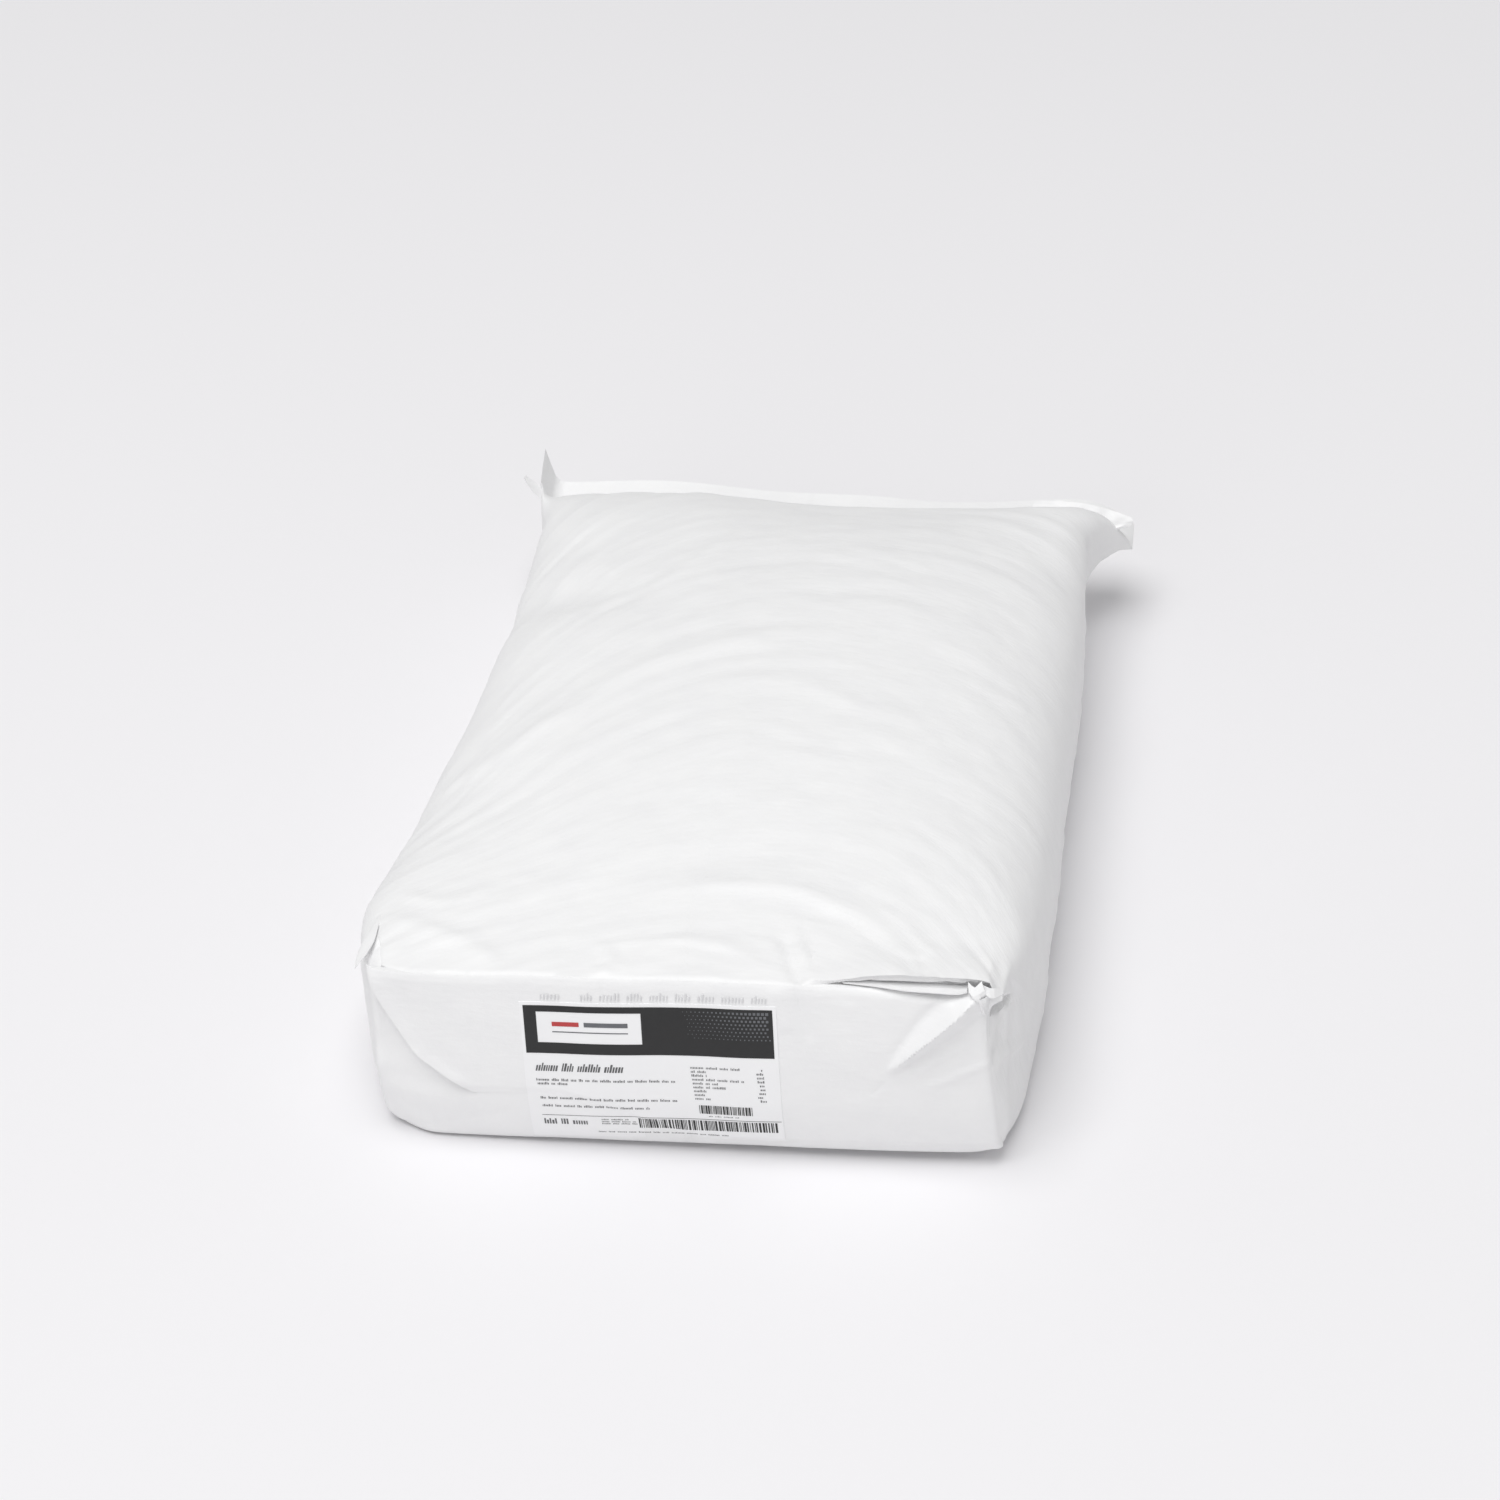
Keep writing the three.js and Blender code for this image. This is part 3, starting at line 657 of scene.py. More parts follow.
def zipped(upper, lower, place):
    """Triangles that close a gap between two rows of numbers: at each step the upper or the lower row
    moves on to its next number, whichever has the smaller place."""
    order = np.argsort(np.concatenate([place[upper[1:]], place[lower[1:]]]), kind="stable")
    above = order < len(upper) - 1
    i, j = np.cumsum(above), np.cumsum(~above)
    step_up = np.stack([upper[i - above], upper[i], lower[j]], 1)
    step_low = np.stack([upper[i], lower[j], lower[j - ~above]], 1)
    return np.where(above[:, None], step_up, step_low)


def skin():
    """The paper skin: the tube's rings, the block bottom's grid and the band's closed free edge."""
    rings = tube_rings()
    raise_fold(rings)
    relief, normal = skin_relief(rings)
    rings = rings + relief[..., None] * normal
    unturned = rings[-1, :, 0].copy()
    turn_ear(rings, LEFT_EAR)
    turn_ear(rings, RIGHT_EAR)
    count = rings.shape[1]
    numbers = np.arange(rings.shape[0] * count).reshape(rings.shape[0], count)
    sides = quads(np.concatenate([numbers, numbers[:, :1]], 1).T)

    across, up = crowded(ACROSS), crowded(UP)
    p, q = np.meshgrid(across[1:-1], up[1:-1], indexing="ij")
    x, z = rounded(p, q, np.zeros_like(p))
    inner = np.stack([x, face(p, q) - face_relief(x, z), z], -1)
    inner += bevel_relief(inner)[..., None] * BEVEL_NORMAL
    inner[..., 1] += gusset(x, z)
    draw_back(inner)
    raise_fold(inner)
    sink_mouth(inner)
    press(inner)
    grid = np.zeros((ACROSS + 1, UP + 1), int)
    grid[1:-1, 1:-1] = numbers.size + np.arange(p.size).reshape(p.shape)
    i, j = np.arange(ACROSS + 1), np.arange(UP + 1)
    grid[0, :] = numbers[0, (2 * ACROSS + UP + j) % count]
    grid[-1, :] = numbers[0, ACROSS + UP - j]
    grid[:, 0] = numbers[0, (2 * ACROSS + UP - i) % count]
    grid[:, -1] = numbers[0, i]
    end = quads(grid)

    from_left = np.arange(-UP // 2, ACROSS + UP // 2 + 1)
    upper, lower = from_left % count, (2 * ACROSS + UP - from_left[1:-1]) % count
    band = numbers[-1][zipped(upper, lower, unturned)]

    points = np.concatenate([rings.reshape(-1, 3), inner.reshape(-1, 3)])
    wobble(points)
    points[:, 2] = np.maximum(points[:, 2], 0.0)
    fall = CROWN_Z - points[:, 2]
    across_grain = points[:, 0] + np.sign(points[:, 0]) * fall
    along_grain = arc_place(points[:, 0], points[:, 1]) - GRAIN_FALL * fall
    all_faces = [f for part in (sides, end, band) for f in part.tolist()]
    grain = np.stack([across_grain, along_grain], -1)
    return piece("sack_skin", points, all_faces, *SACK_PAPER, grain)


# ---------------------------------------------------------------------------------------------------
# The block bottom's outer papers


# Creases of the flap, as places (x, z)
FLAP_CREASES = [
    ([(66, 121), (69, 108), (73, 95), (76, 84)], -0.7, 2.2, 2.2),
    ([(56, 121), (58, 106), (63, 88)], 0.6, 5.0, 5.0),
    ([(80, 121), (92, 110), (104, 104)], 0.4, 5.0, 4.0),
    ([(124, 59), (145, 72), (157, 80), (168, 88)], 0.7, 3.0, 2.6),
    ([(136, 53), (155, 61), (167, 67), (186, 74)], 0.8, 3.4, 2.4),
    ([(-46, 121), (-45, 114), (-44, 107)], -0.4, 2.0, 2.0),
    ([(-160, 70), (-158, 62), (-152, 56)], 0.5, 2.5, 2.5),
    ([(118, 60), (112, 52), (108, 49)], -0.5, 1.6, 1.6),
]


def pleat(x, z):
    """How far the pleat stands out: it rises to its crest over one width above it and falls over
    another below it, beside a slight valley; the height and both widths change along it."""
    start, end = np.array(PLEAT["start"]), np.array(PLEAT["end"])
    run = end - start
    length = np.hypot(*run)
    part = ((x - start[0]) * run[0] + (z - start[1]) * run[1]) / length**2
    above = ((x - start[0]) * run[1] - (z - start[1]) * run[0]) / length
    high, wide_above, wide_below = (
        np.interp(part, PLEAT_AT, values) for values in (PLEAT_HIGH, PLEAT_ABOVE, PLEAT_BELOW)
    )
    rise = clamp(1 - np.where(above > 0, above / wide_above, -above / wide_below))
    top = smooth((part + PLEAT["before"]) / PLEAT["blend"])
    foot = smooth((1 + PLEAT["past"] - part) / PLEAT["blend"])
    valley = bell((above - wide_above - PLEAT_VALLEY["beyond"]) / PLEAT_VALLEY["wide"])
    deep = PLEAT_VALLEY["deep"] * high / PLEAT_HIGH.max()
    return (high * rise - deep * valley) * top * foot


def free_edge(z):
    """Where the flap's free left edge lies at a height."""
    edge = np.array(FLAP_EDGE)
    return np.interp(z, edge[:, 1], edge[:, 0])


def flap_foot(x):
    """Height of the flap's lower edge, which falls towards the right."""
    return mix(FLAP["foot"], FLAP["low"], smooth((x - FLAP_SLOPE["start"]) / FLAP_SLOPE["over"]))


def flap_out(x, z):
    """How far the flap's front stands off the face: its paper, lifted along the free edge, thin at its
    foot and top, sunk at the right and low borders, with the pleat and its creases."""
    pasted = smooth((x - FLAP_PASTED["start"]) / FLAP_PASTED["over"])
    border = mix(FLAP["thin"], -FLAP["sunk"], pasted)
    full = FLAP["thick"] * mix(1.0, FLAP_PASTED["part"], pasted)
    out = mix(border, full, smooth((z - flap_foot(x)) / FLAP["step"]))
    out = mix(out, FLAP["thin"], smooth((z - FLAP_TOP["start"]) / FLAP_TOP["over"]) * (1 - mouth(x)))
    out = mix(out, -FLAP["sunk"], smooth((x - bevel_edge(z) + FLAP_RIM["soft"]) / FLAP_RIM["past"]))
    lift = FLAP_LIFT["out"] * bell((x - free_edge(z)) / FLAP_LIFT["over"])
    lift *= smooth((z - FLAP_LIFT["low"]) / FLAP_LIFT["blend"])
    lift *= smooth((FLAP_LIFT["high"] - z) / FLAP_LIFT["fade"])
    return out + lift + pleat(x, z) + sum(crease(x, z, *one) for one in FLAP_CREASES)


def end_surface(x, z):
    """The block bottom's outermost paper along Y, as the flap's front, which rolls into the mouth."""
    top = np.interp(x, FLAP_TOP_X, FLAP_TOP_Z)
    roll = curl(top - z + FLAP_ROLL["above"], FLAP_ROLL["radius"]) * mouth(x)
    return face_at(x, z) - face_relief(x, z) - flap_out(x, z) + roll


def bottom_flap():
    """The pasted flap from its free left edge to the right border: rows rise from its foot to its top,
    and columns crowd a little towards the free edge."""
    s, t = np.meshgrid(*(np.linspace(0, 1, cells + 1) for cells in FLAP_CELLS), indexing="ij")
    s = mix(s, s**1.5, 0.4)
    edge = np.array(FLAP_EDGE, float)
    at = np.arange(len(edge), dtype=float)
    left, climb = through(at, edge[:, 0], t * at[-1]), through(at, edge[:, 1], t * at[-1])
    x = mix(left, FLAP["right"], s)
    part = (climb - FLAP["foot"]) / (edge[-1, 1] - FLAP["foot"])
    z = mix(flap_foot(x), np.interp(x, FLAP_TOP_X, FLAP_TOP_Z), mix(part, t, smooth(s * 4)))
    x = mix(left, np.minimum(bevel_edge(z) + FLAP_RIM["past"], FLAP["right"]), s)
    front = np.stack([x, end_surface(x, z), z], -1)
    back = front.copy()
    near_edge = 1 - smooth((x - left) / FLAP_RIM["over"])
    back[..., 1] += mix(FLAP["thick"] + FLAP_RIM["behind"], FLAP_LIFT["gap"], near_edge)
    points, faces = slab(front, back)
    press(points)
    wobble(points)
    grain = points[:, [0, 2]] + [0.0, FLAP_GRAIN_AT]
    return piece("bottom_flap", points, faces, *SACK_PAPER, grain)


def spread(count, cells):
    """How much each of a few given points counts at even steps along the smooth curve through them."""
    at = np.arange(count, dtype=float)
    t = np.linspace(0.0, count - 1.0, cells + 1)
    return np.stack([through(at, one, t) for one in np.eye(count)])


# How many cells of a small paper share one random hill of its crumple, along and across
CRUMPLE_CELLS = (3.1, 2.7)


def paper(name, rows, cells=(24, 12), thick=0.7, crumple=0.0, seed=61, sharp=50.0):
    """A thin sheet stretched smoothly over rows of places (x, y, z); its normal is the step along a row
    crossed with the step to the next row, and its back lies one thickness behind."""
    rows = np.array(rows, float)
    along, across = spread(rows.shape[1], cells[0]), spread(rows.shape[0], cells[1])
    front = np.einsum("pi,rj,rpk->ijk", along, across, rows)
    normal = np.cross(np.gradient(front, axis=0), np.gradient(front, axis=1))
    normal /= np.maximum(np.linalg.norm(normal, axis=-1, keepdims=True), 1e-9)
    i, j = np.meshgrid(np.arange(cells[0] + 1), np.arange(cells[1] + 1), indexing="ij")
    hills = grain_noise(i / CRUMPLE_CELLS[0], j / CRUMPLE_CELLS[1], seed)
    front = front + normal * (crumple * hills)[..., None]
    points, faces = slab(front, front - thick * normal)
    return piece(name, points, faces, *SACK_PAPER, points[:, :2], sharp=sharp)


def mouth_papers():
    """What shows in and round the mouth: an inner ply's lip, and shards of crumpled paper at its right."""
    paper("mouth_inner_lip", [
        [(94, 10, 119.6), (112, 9, 119.4), (130, 8, 119.2),
         (146, 8, 119), (160, 8, 118.4), (166, 8, 118.8)],
        [(94, 3.5, 120.6), (112, 1.5, 120.4), (130, -1.5, 120),
         (146, -2.4, 119.8), (160, -2.8, 119.6), (166, -2.5, 121)],
    ], cells=(40, 4), thick=-0.6)
    paper("mouth_shard_upper", [
        [(166.5, 1, 125.6), (170.5, -1, 123.0), (174.5, 1, 126.4)],
        [(167.0, -3, 122.0), (170.0, -5, 119.4), (176.0, -2.5, 122.8)],
        [(170.0, -3.5, 118.6), (172.0, -6, 116.4), (177.5, -1.5, 119.2)],
    ], cells=(4, 4), thick=0.5, crumple=0.8, seed=62, sharp=6.0)
    paper("mouth_shard_lower", [
        [(170.5, -3, 119.6), (174.0, -6, 118.4), (178.5, -1.5, 119.6)],
        [(172.5, -3.5, 113.6), (175.5, -7, 112.8), (178.6, -1.5, 114.6)],
        [(174.6, -2, 107.6), (176.2, -4, 106.6), (177.8, -1, 108.0)],
    ], cells=(4, 5), thick=0.5, crumple=0.6, seed=63, sharp=6.0)
    paper("mouth_shard_right", [
        [(174.5, 0, 124.6), (180.0, -1.5, 123.6), (185.5, 2, 122.4)],
        [(176.0, -2.5, 120.4), (180.5, -4, 118.2), (186.5, 1, 118.6)],
    ], cells=(5, 3), thick=0.5, crumple=0.9, seed=64, sharp=6.0)


def corner_leaf():
    """A folded tip of paper that hangs over the top left corner."""
    paper("corner_leaf", [
        [(-187.6, 60, 120.6), (-186.2, 44, 121.6), (-185.6, 30, 121.6),
         (-187.4, 19, 120.4), (-192.2, 11.5, 116.6)],
        [(-188.6, 60, 119.6), (-190, 46, 120), (-191.8, 34, 119.6),
         (-193.4, 22, 117.4), (-193.6, 10.5, 114.8)],
        [(-189.2, 58, 118), (-191.6, 47, 117), (-194.2, 35, 116),
         (-195, 22, 114.6), (-194, 10, 113.6)],
    ], cells=(26, 8), thick=0.6, crumple=0.15, seed=65)


def left_ear():
    """The left corner of the pinched end: a short leaf folded out beside the ear that the skin turns up."""
    paper("left_ear_short_leaf", [
        [(-190.0, 655, 84), (-195.0, 654, 90), (-199.6, 653, 98.6), (-201.8, 653, 104.2)],
        [(-184.0, 657, 84), (-189.0, 657, 92), (-194.6, 657, 98.0), (-200.6, 655, 104.8)],
    ], cells=(14, 6), thick=-1.0, crumple=0.3, seed=66)


def right_ear():
    """The right corner of the pinched end: a tab folded down over the shoulder, a spike that points down
    from its middle, and the gusset's fold under it."""
    paper("right_ear_tab", [
        [(167, 668, 84), (184, 666, 86), (204, 664, 85.0), (222, 662, 81.6), (236, 660, 77)],
        [(164.5, 659, 80), (184, 656, 79), (204, 655, 77), (222, 656, 74), (237, 658, 74.6)],
        [(170, 653, 73), (184, 649, 71), (203, 649, 69.6), (219, 652, 69), (233, 657, 72)],
    ], cells=(36, 14), thick=1.2, crumple=0.7, seed=67)
    paper("right_ear_spike", [
        [(186, 650, 72), (193, 647, 71), (201, 649, 71)],
        [(190, 646, 62), (195, 643, 61), (200, 646, 63)],
        [(195, 643, 51), (196.4, 642, 50.4), (197.6, 643, 51.4)],
    ], cells=(8, 10), thick=0.8, crumple=0.3, seed=68)
    paper("right_ear_under_fold", [
        [(214, 652, 66), (206, 640, 58), (197, 622, 50), (194, 600, 42)],
        [(216, 653, 62), (209, 643, 51), (201, 625, 40), (196, 602, 34)],
    ], cells=(20, 6), thick=0.9, crumple=0.5, seed=69)


# ---------------------------------------------------------------------------------------------------
# The adhesive label and its print, laid out in the label's own millimetres from its middle

LABEL_CELLS = (150, 98)

# Ink stands this far out of the label and reaches into it, on a grid of this cell
INK = {"out": 0.16, "into": 0.25, "cell": 2.4}

# Marks of a word: how many, how tall and wide beside the given size, and the gap that follows. Bars:
# their widths and gaps, in thin bars
WORD = {"marks": (3, 10), "tall": [0.7, 0.7, 0.7, 1.0], "wide": (0.8, 1.5), "gap": 2.2}
BAR = [1, 1, 2, 3], [1, 1, 2]

# Rows of marks in place of text: left, low, width, height, mark, gap, lean and seed
HEADING = (-69.0, 3.3, 52, 5.4, 0.85, 0.55, 0.25, 71)
FOOT_ROWS = [
    (-67.6, -38.2, 29, 4.4, 0.85, 0.62, 0.0, 101),
    (-33.0, -34.0, 16, 1.0, 0.36, 0.36, 0.0, 102),
    (-33.0, -35.8, 21, 1.0, 0.36, 0.36, 0.0, 103),
    (-33.0, -37.6, 21, 1.0, 0.36, 0.36, 0.0, 104),
    (-36.0, -45.0, 78, 1.1, 0.38, 0.4, 0.0, 106),
    (32.0, -28.4, 18, 0.8, 0.36, 0.4, 0.0, 107),
]
FLAP_ROWS = [(-62.8, 50.6, 14, 4.6, 0.7, 1.2, 0.1, 111), (-39.0, 50.8, 110, 4.6, 0.7, 1.2, 0.1, 112)]

# The lines under the heading: low and width. The table's rows: how long its words and its number are
LINES = [(-3.6, 83), (-6.3, 18), (-17.4, 82), (-23.6, 65)]
LINE = {"left": -69.0, "aside": 0.6, "tall": 1.7, "mark": 0.42, "gap": 0.4}
TABLE = {"left": 23.4, "aside": 0.2, "top": 6.6, "step": 2.72, "width": 42.5, "tall": 1.5}
TABLE_ROWS = [(29, 1), (10, 4), (9, 4), (31, 4), (16, 3), (20, 3), (9, 4), (6, 5), (9, 4)]

# Patches as (left, low, right, high): the band, the empty field in it, its bars, the rule, and the bars
BAND = (-73.5, 15.4, 73.2, 46.8)
FIELD = (-66.0, 22.5, -4.0, 42.8)
FIELD_BARS = [(-38.0, 33.4, -12.0, 36.2, 0.0), (-57.0, 29.4, -12.0, 30.0, 0.0)]
FIELD_ACCENT = (-57.0, 33.4, -41.0, 36.2, 0.0)
RULE = (-68.3, -30.9, 74.6, -30.65, 0.0)
SHORT_BARS, LONG_BARS = (26.8, -25.9, 59.4, -19.4, 108), (-10.8, -40.4, 73.6, -32.0, 109, 0.42)

# The band's screen of dots, which grow to the right and shrink downwards, in staggered rows
SCREEN = {"columns": 22, "rows": 8, "left": 18.5, "high": 44.2, "stagger": 1.2, "least": 0.2, "rim": 1.5}
SCREEN_STEP, SCREEN_DOT, SCREEN_OUT = (2.45, 2.4), (0.17, 0.034, 11), 0.24


def label_place(u, v, out):
    """Places on the label's front, or out from it: its plane turned a little, laid over the flap."""
    turn = math.radians(LABEL["turn"])
    x = LABEL["x"] + u * math.cos(turn) - v * math.sin(turn)
    z = LABEL["z"] + u * math.sin(turn) + v * math.cos(turn)
    return np.stack([x, end_surface(x, z) - LABEL["thick"] - out, z], -1)


def label():
    """The label: a thin sheet laid over the flap."""
    s, t = np.meshgrid(*(np.linspace(-0.5, 0.5, c + 1) for c in LABEL_CELLS), indexing="ij")
    u, v = s * LABEL["width"], t * LABEL["height"]
    back = label_place(u, v, -LABEL["thick"] - LABEL["gap"])
    points, faces = slab(label_place(u, v, 0.0), back)
    press(points)
    wobble(points)
    return piece("label", points, faces, LABEL_PAPER, "label_paper", "label", points[:, [0, 2]])


def printed(name, boxes, ink, slot="label_paper", out=INK["out"]):
    """One piece of ink: thin closed patches on the label, each (left, low, right, high, lean), where a
    patch leans to the right by that part of its height."""
    patches, all_faces, total = [], [], 0
    for left, low, right, high, lean in boxes:
        columns = max(1, round((right - left) / INK["cell"]))
        rows = max(1, round((high - low) / INK["cell"]))
        s, t = np.meshgrid(np.linspace(0, 1, columns + 1), np.linspace(0, 1, rows + 1), indexing="ij")
        u, v = mix(left, right, s) + lean * (high - low) * t, mix(low, high, t)
        places, faces = slab(np.stack([u, v, out + 0 * u], -1), np.stack([u, v, -INK["into"] + 0 * u], -1))
        patches.append(places)
        all_faces.append(faces + total)
        total += len(places)
    points = label_place(*np.concatenate(patches).T)
    press(points)
    wobble(points)
    return piece(name, points, np.concatenate(all_faces), ink, slot, "label", points[:, [0, 2]])


def dashes(u, v, width, high, mark, gap, lean=0.0, seed=0):
    """A row of upright marks in groups as long as words, in place of a line of text: none is a letter."""
    draw = np.random.default_rng(seed)
    boxes, at = [], u
    while at < u + width - mark:
        for _ in range(draw.integers(*WORD["marks"])):
            tall = high * draw.choice(WORD["tall"])
            wide = mark * draw.uniform(*WORD["wide"])
            if at + wide > u + width:
                break
            boxes.append((at, v, at + wide, v + tall, lean))
            at += wide + gap
        at += WORD["gap"] * gap + mark
    return boxes


def bars(left, low, right, high, seed, thin=0.34):
    """Upright bars of two or three widths, in place of a bar pattern: they hold no number."""
    draw = np.random.default_rng(seed)
    widths, gaps = BAR
    boxes, at = [], left
    while at < right - max(widths) * thin:
        wide = thin * draw.choice(widths)
        boxes.append((at, low, at + wide, high, 0.0))
        at += wide + thin * draw.choice(gaps)
    return boxes


def screen_dots():
    """The dots on the band's right part, as small square patches."""
    small, growth, fade = SCREEN_DOT
    dots = []
    for i in range(SCREEN["columns"]):
        for j in range(SCREEN["rows"]):
            reach = small + growth * i * (1 - j / fade)
            u = SCREEN["left"] + SCREEN_STEP[0] * i + SCREEN["stagger"] * (j % 2)
            v = SCREEN["high"] - SCREEN_STEP[1] * j
            inside = v - reach > FIELD[1] and u + reach < BAND[2] - SCREEN["rim"]
            if reach > SCREEN["least"] and inside:
                dots.append((u - reach, v - reach, u + reach, v + reach, 0.0))
    return dots


def label_print():
    """A plain layout: a black band round an empty field, a heading, lines, a table, bars and a rule."""
    left, low, right, high = BAND
    field_left, field_low, field_right, field_high = FIELD
    printed("label_band", [
        (left, low, right, field_low, 0.0),
        (left, field_low, field_left, field_high, 0.0),
        (field_right, field_low, right, field_high, 0.0),
        (left, field_high, right, high, 0.0),
    ], PRINT_BLACK)
    grey = dashes(*HEADING)
    for k, (v, width) in enumerate(LINES):
        u = LINE["left"] + LINE["aside"] * k
        grey += dashes(u, v, width, LINE["tall"], LINE["mark"], LINE["gap"], 0.0, 72 + k)
    for k, (words, number) in enumerate(TABLE_ROWS):
        u, v = TABLE["left"] + TABLE["aside"] * k, TABLE["top"] - TABLE["step"] * k
        grey += dashes(u, v, words, TABLE["tall"], 0.4, 0.42, 0.0, 80 + k)
        grey += dashes(u + TABLE["width"] - number, v, number, TABLE["tall"], 0.5, 0.45, 0.0, 90 + k)
    for row in FOOT_ROWS:
        grey += dashes(*row)
    printed("label_text_lines", grey + [RULE], PRINT_GREY)
    printed("label_bars", bars(*SHORT_BARS) + bars(*LONG_BARS), PRINT_BLACK)
    printed("label_field_bars", FIELD_BARS, PRINT_SLATE)
    printed("label_field_accent", [FIELD_ACCENT], PRINT_RED)
    printed("label_band_screen", screen_dots(), PRINT_SLATE, out=SCREEN_OUT)


def ink_row():
    """A faint row of ink marks on the flap above the label, in place of a printed line."""
    printed("flap_ink_marks", dashes(*FLAP_ROWS[0]) + dashes(*FLAP_ROWS[1]), FAINT_INK, "sack_paper")


# ---------------------------------------------------------------------------------------------------
# Materials


def linear(colour):
    """An sRGB hex colour as linear red, green, blue and alpha."""
    parts = [int(colour[i : i + 2], 16) / 255 for i in (1, 3, 5)]
    return [c / 12.92 if c <= 0.04045 else ((c + 0.055) / 1.055) ** 2.4 for c in parts] + [1.0]


def node(tree, kind, settings=None, **values):
    """Adds a node: settings are its own properties, and values its inputs by name, each of them either a
    constant or the output of another node that is linked to it."""
    made = tree.nodes.new(kind)
    for name, value in (settings or {}).items():
        setattr(made, name, value)
    for name, value in values.items():
        socket = made.inputs[name.replace("_", " ")]
        if isinstance(value, bpy.types.NodeSocket):
            tree.links.new(value, socket)
        else:
            socket.default_value = value
    return made


def material(name):
    """An empty node material with its output."""
    made = bpy.data.materials.new(name)
    made.use_nodes = True
    made.node_tree.nodes.clear()
    return made, made.node_tree


def white_kraft():
    """Bleached machine-glazed kraft paper, crinkled by filling: white, a little uneven, softly glossy.
    Scales are cells per metre: folds of 17 by 5 mm along the grain, crumple of 7 mm, clouds of 22 mm
    and fibres, drawn 1 mm coarse."""
    made, tree = material("bleached_kraft_machine_glazed")
    place = node(tree, "ShaderNodeTexCoord").outputs["Object"]
    grain = node(tree, "ShaderNodeUVMap", {"uv_map": "grain"}).outputs["UV"]
    along = node(tree, "ShaderNodeMapping", Vector=grain, Scale=(60.0, 190.0, 1.0)).outputs["Vector"]
    patterns = [
        node(tree, "ShaderNodeTexNoise", Vector=vector, Scale=scale, Detail=detail, Roughness=rough)
        for vector, scale, detail, rough in [
            (along, 1.0, 4.0, 0.62), (place, 150.0, 3.0, 0.6),
            (place, 900.0, 2.0, 0.5), (place, 45.0, 4.0, 0.5),
        ]
    ]
    folds, crumple, fibres, cloudy = (pattern.outputs["Fac"] for pattern in patterns)
    colours = {"Factor": cloudy, "A": linear("#EDEDEE"), "B": linear("#F4F4F4")}
    tone = node(tree, "ShaderNodeMix", {"data_type": "RGBA"}, **colours).outputs["Result"]
    gloss = node(tree, "ShaderNodeMapRange", Value=crumple, To_Min=0.42, To_Max=0.6).outputs["Result"]
    normal = node(tree, "ShaderNodeBump", Height=folds, Strength=0.35, Distance=0.0012).outputs["Normal"]
    for height, strength, deep in [(crumple, 0.3, 0.0006), (fibres, 0.15, 0.0002)]:
        bump = node(tree, "ShaderNodeBump", Height=height, Normal=normal, Strength=strength, Distance=deep)
        normal = bump.outputs["Normal"]
    shader = node(tree, "ShaderNodeBsdfPrincipled", Base_Color=tone, Roughness=gloss, Normal=normal, IOR=1.48)
    node(tree, "ShaderNodeOutputMaterial", Surface=shader.outputs["BSDF"])
    return made


def coated_label():
    """Semi-gloss coated label paper: whiter and smoother than the kraft, with a faint sheen. Scales are
    cells per metre: waves of 26 mm, and a grain drawn 1.4 mm coarse."""
    made, tree = material("coated_label_paper")
    place = node(tree, "ShaderNodeTexCoord").outputs["Object"]
    waves = node(tree, "ShaderNodeTexNoise", Vector=place, Scale=38.0, Detail=2.0).outputs["Fac"]
    fine = node(tree, "ShaderNodeTexNoise", Vector=place, Scale=700.0, Detail=2.0).outputs["Fac"]
    sheen = node(tree, "ShaderNodeMapRange", Value=waves, To_Min=0.3, To_Max=0.42).outputs["Result"]
    swell = node(tree, "ShaderNodeBump", Height=waves, Strength=0.25, Distance=0.001).outputs["Normal"]
    grain = node(tree, "ShaderNodeBump", Height=fine, Normal=swell, Strength=0.08, Distance=0.0001)
    shader = node(tree, "ShaderNodeBsdfPrincipled", Base_Color=linear("#F4F4F5"), Roughness=sheen, IOR=1.5)
    tree.links.new(grain.outputs["Normal"], shader.inputs["Normal"])
    node(tree, "ShaderNodeOutputMaterial", Surface=shader.outputs["BSDF"])
    return made


def ink(name, dark, light, roughness):
    """Thermal-transfer ink on coated paper: dense, slightly glossy, a little uneven in its black over
    patches of 4 mm."""
    made, tree = material(name)
    place = node(tree, "ShaderNodeTexCoord").outputs["Object"]
    uneven = node(tree, "ShaderNodeTexNoise", Vector=place, Scale=260.0, Detail=3.0).outputs["Fac"]
    colours = {"Factor": uneven, "A": linear(dark), "B": linear(light)}
    tone = node(tree, "ShaderNodeMix", {"data_type": "RGBA"}, **colours).outputs["Result"]
    gloss = node(tree, "ShaderNodeMapRange", Value=uneven, To_Min=roughness, To_Max=roughness + 0.12)
    gloss = gloss.outputs["Result"]
    shader = node(tree, "ShaderNodeBsdfPrincipled", Base_Color=tone, Roughness=gloss, IOR=1.5)
    node(tree, "ShaderNodeOutputMaterial", Surface=shader.outputs["BSDF"])
    return made


# The sack's paper, with its material slot and the node that it dresses
SACK_PAPER = (white_kraft(), "sack_paper", "sack")
LABEL_PAPER = coated_label()
PRINT_BLACK = ink("thermal_transfer_black", "#161617", "#222223", 0.4)
PRINT_GREY = ink("thermal_transfer_thin_black", "#4C4C4E", "#6A6A6C", 0.45)
PRINT_SLATE = ink("flexographic_slate", "#5D5F63", "#6F7175", 0.5)
PRINT_RED = ink("flexographic_red", "#B4393A", "#C04646", 0.5)
FAINT_INK = ink("worn_stamp_ink", "#D2D2D4", "#E4E4E5", 0.6)

skin()
bottom_flap()
mouth_papers()
corner_leaf()
left_ear()
right_ear()
label()
label_print()
ink_row()

# ---------------------------------------------------------------------------------------------------
# Floor, light and camera

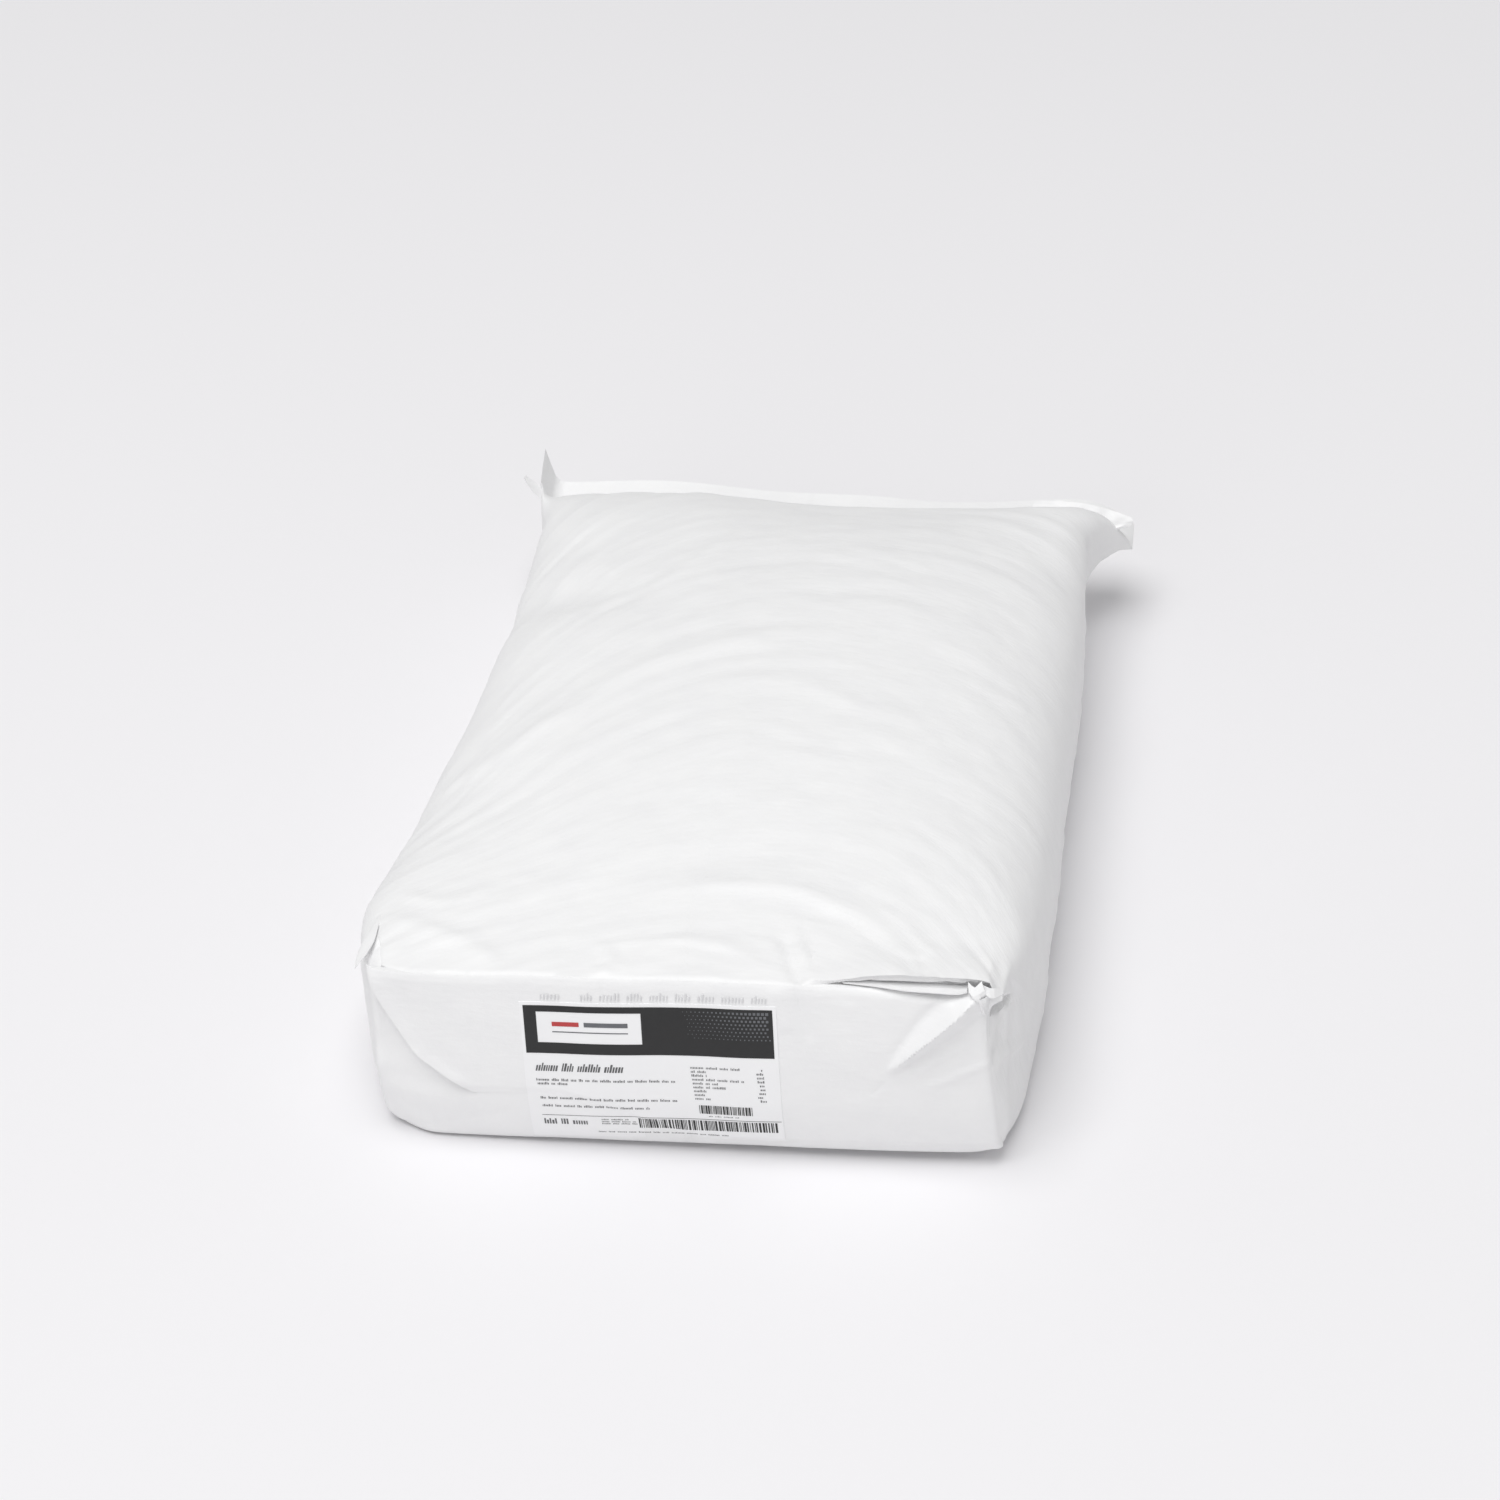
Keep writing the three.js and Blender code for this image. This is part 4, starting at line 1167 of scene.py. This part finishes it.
# The camera stands a good two metres off and looks down at the block bottom, a little to the left
CAMERA = {"pitch": 31.37, "yaw": 7.52, "roll": -1.50, "at": (290.4, -1881.9, 1440.3)}
FRAME_PIXELS, FOCAL_PIXELS, SENSOR_MM = 1500, 4000, 36.0
FLOOR_REACH = 12.0

# Lights in metres: place, aim, side and watts of the soft boxes, and the strength of the light all round
ALL_ROUND = 0.42
KEY = {"place": (-0.9, -2.2, 8.2), "aim": (0.0, 1.0, 0.0), "size": 6.0, "power": 480.0}
FILL = {"place": (-1.6, -7.5, 2.6), "aim": (0.0, 0.0, 0.1), "size": 3.0, "power": 60.0}


def photo_camera():
    """A camera whose axes follow from its pitch, yaw and roll."""
    pitch, yaw, roll = (math.radians(CAMERA[k]) for k in ("pitch", "yaw", "roll"))
    ahead = np.array([-math.sin(yaw) * math.cos(pitch), math.cos(yaw) * math.cos(pitch), -math.sin(pitch)])
    level = np.array([math.cos(yaw), math.sin(yaw), 0.0])
    upright = np.cross(level, ahead)
    right = math.cos(roll) * level + math.sin(roll) * upright
    up = -math.sin(roll) * level + math.cos(roll) * upright
    camera = bpy.data.cameras.new("photo_camera")
    camera.sensor_width = SENSOR_MM
    camera.lens = SENSOR_MM * FOCAL_PIXELS / FRAME_PIXELS
    camera.clip_end = 100.0
    made = bpy.data.objects.new("photo_camera", camera)
    place = (np.array(CAMERA["at"]) + SACK_AT) * MM
    made.matrix_world = Matrix([[right[i], up[i], -ahead[i], place[i]] for i in range(3)] + [[0, 0, 0, 1]])
    bpy.context.scene.collection.objects.link(made)
    bpy.context.scene.camera = made


def floor():
    """A plain pale floor, wide enough to fill the view."""
    made, tree = material("matte_floor_paint")
    paint = node(tree, "ShaderNodeBsdfPrincipled", Roughness=0.7, Base_Color=linear("#F1F0F2"))
    node(tree, "ShaderNodeOutputMaterial", Surface=paint.outputs["BSDF"])
    mesh = bpy.data.meshes.new("floor")
    corners = [(-1, -1), (1, -1), (1, 1), (-1, 1)]
    mesh.from_pydata([(FLOOR_REACH * x, FLOOR_REACH * y, 0) for x, y in corners], [], [(0, 1, 2, 3)])
    mesh.materials.append(made)
    plane = bpy.data.objects.new("floor", mesh)
    bpy.context.scene.collection.objects.link(plane)


def soft_box(name, place, aim, size, power):
    """A square area light that looks from its place to its aim."""
    light = bpy.data.lights.new(name, "AREA")
    light.size = size
    light.energy = power
    made = bpy.data.objects.new(name, light)
    back = np.array(place, float) - np.array(aim, float)
    made.location = place
    made.rotation_mode = "QUATERNION"
    made.rotation_quaternion = Vector(back).to_track_quat("Z", "Y")
    bpy.context.scene.collection.objects.link(made)


def studio():
    """Soft white light from all round, a large soft box high above, and a weak one low in front."""
    world = bpy.data.worlds.new("studio")
    world.use_nodes = True
    sky = world.node_tree.nodes["Background"]
    sky.inputs["Color"].default_value = linear("#FFFFFF")
    sky.inputs["Strength"].default_value = ALL_ROUND
    bpy.context.scene.world = world
    soft_box("key", **KEY)
    soft_box("fill", **FILL)
    bpy.context.scene.view_settings.view_transform = "Standard"


photo_camera()
floor()
studio()
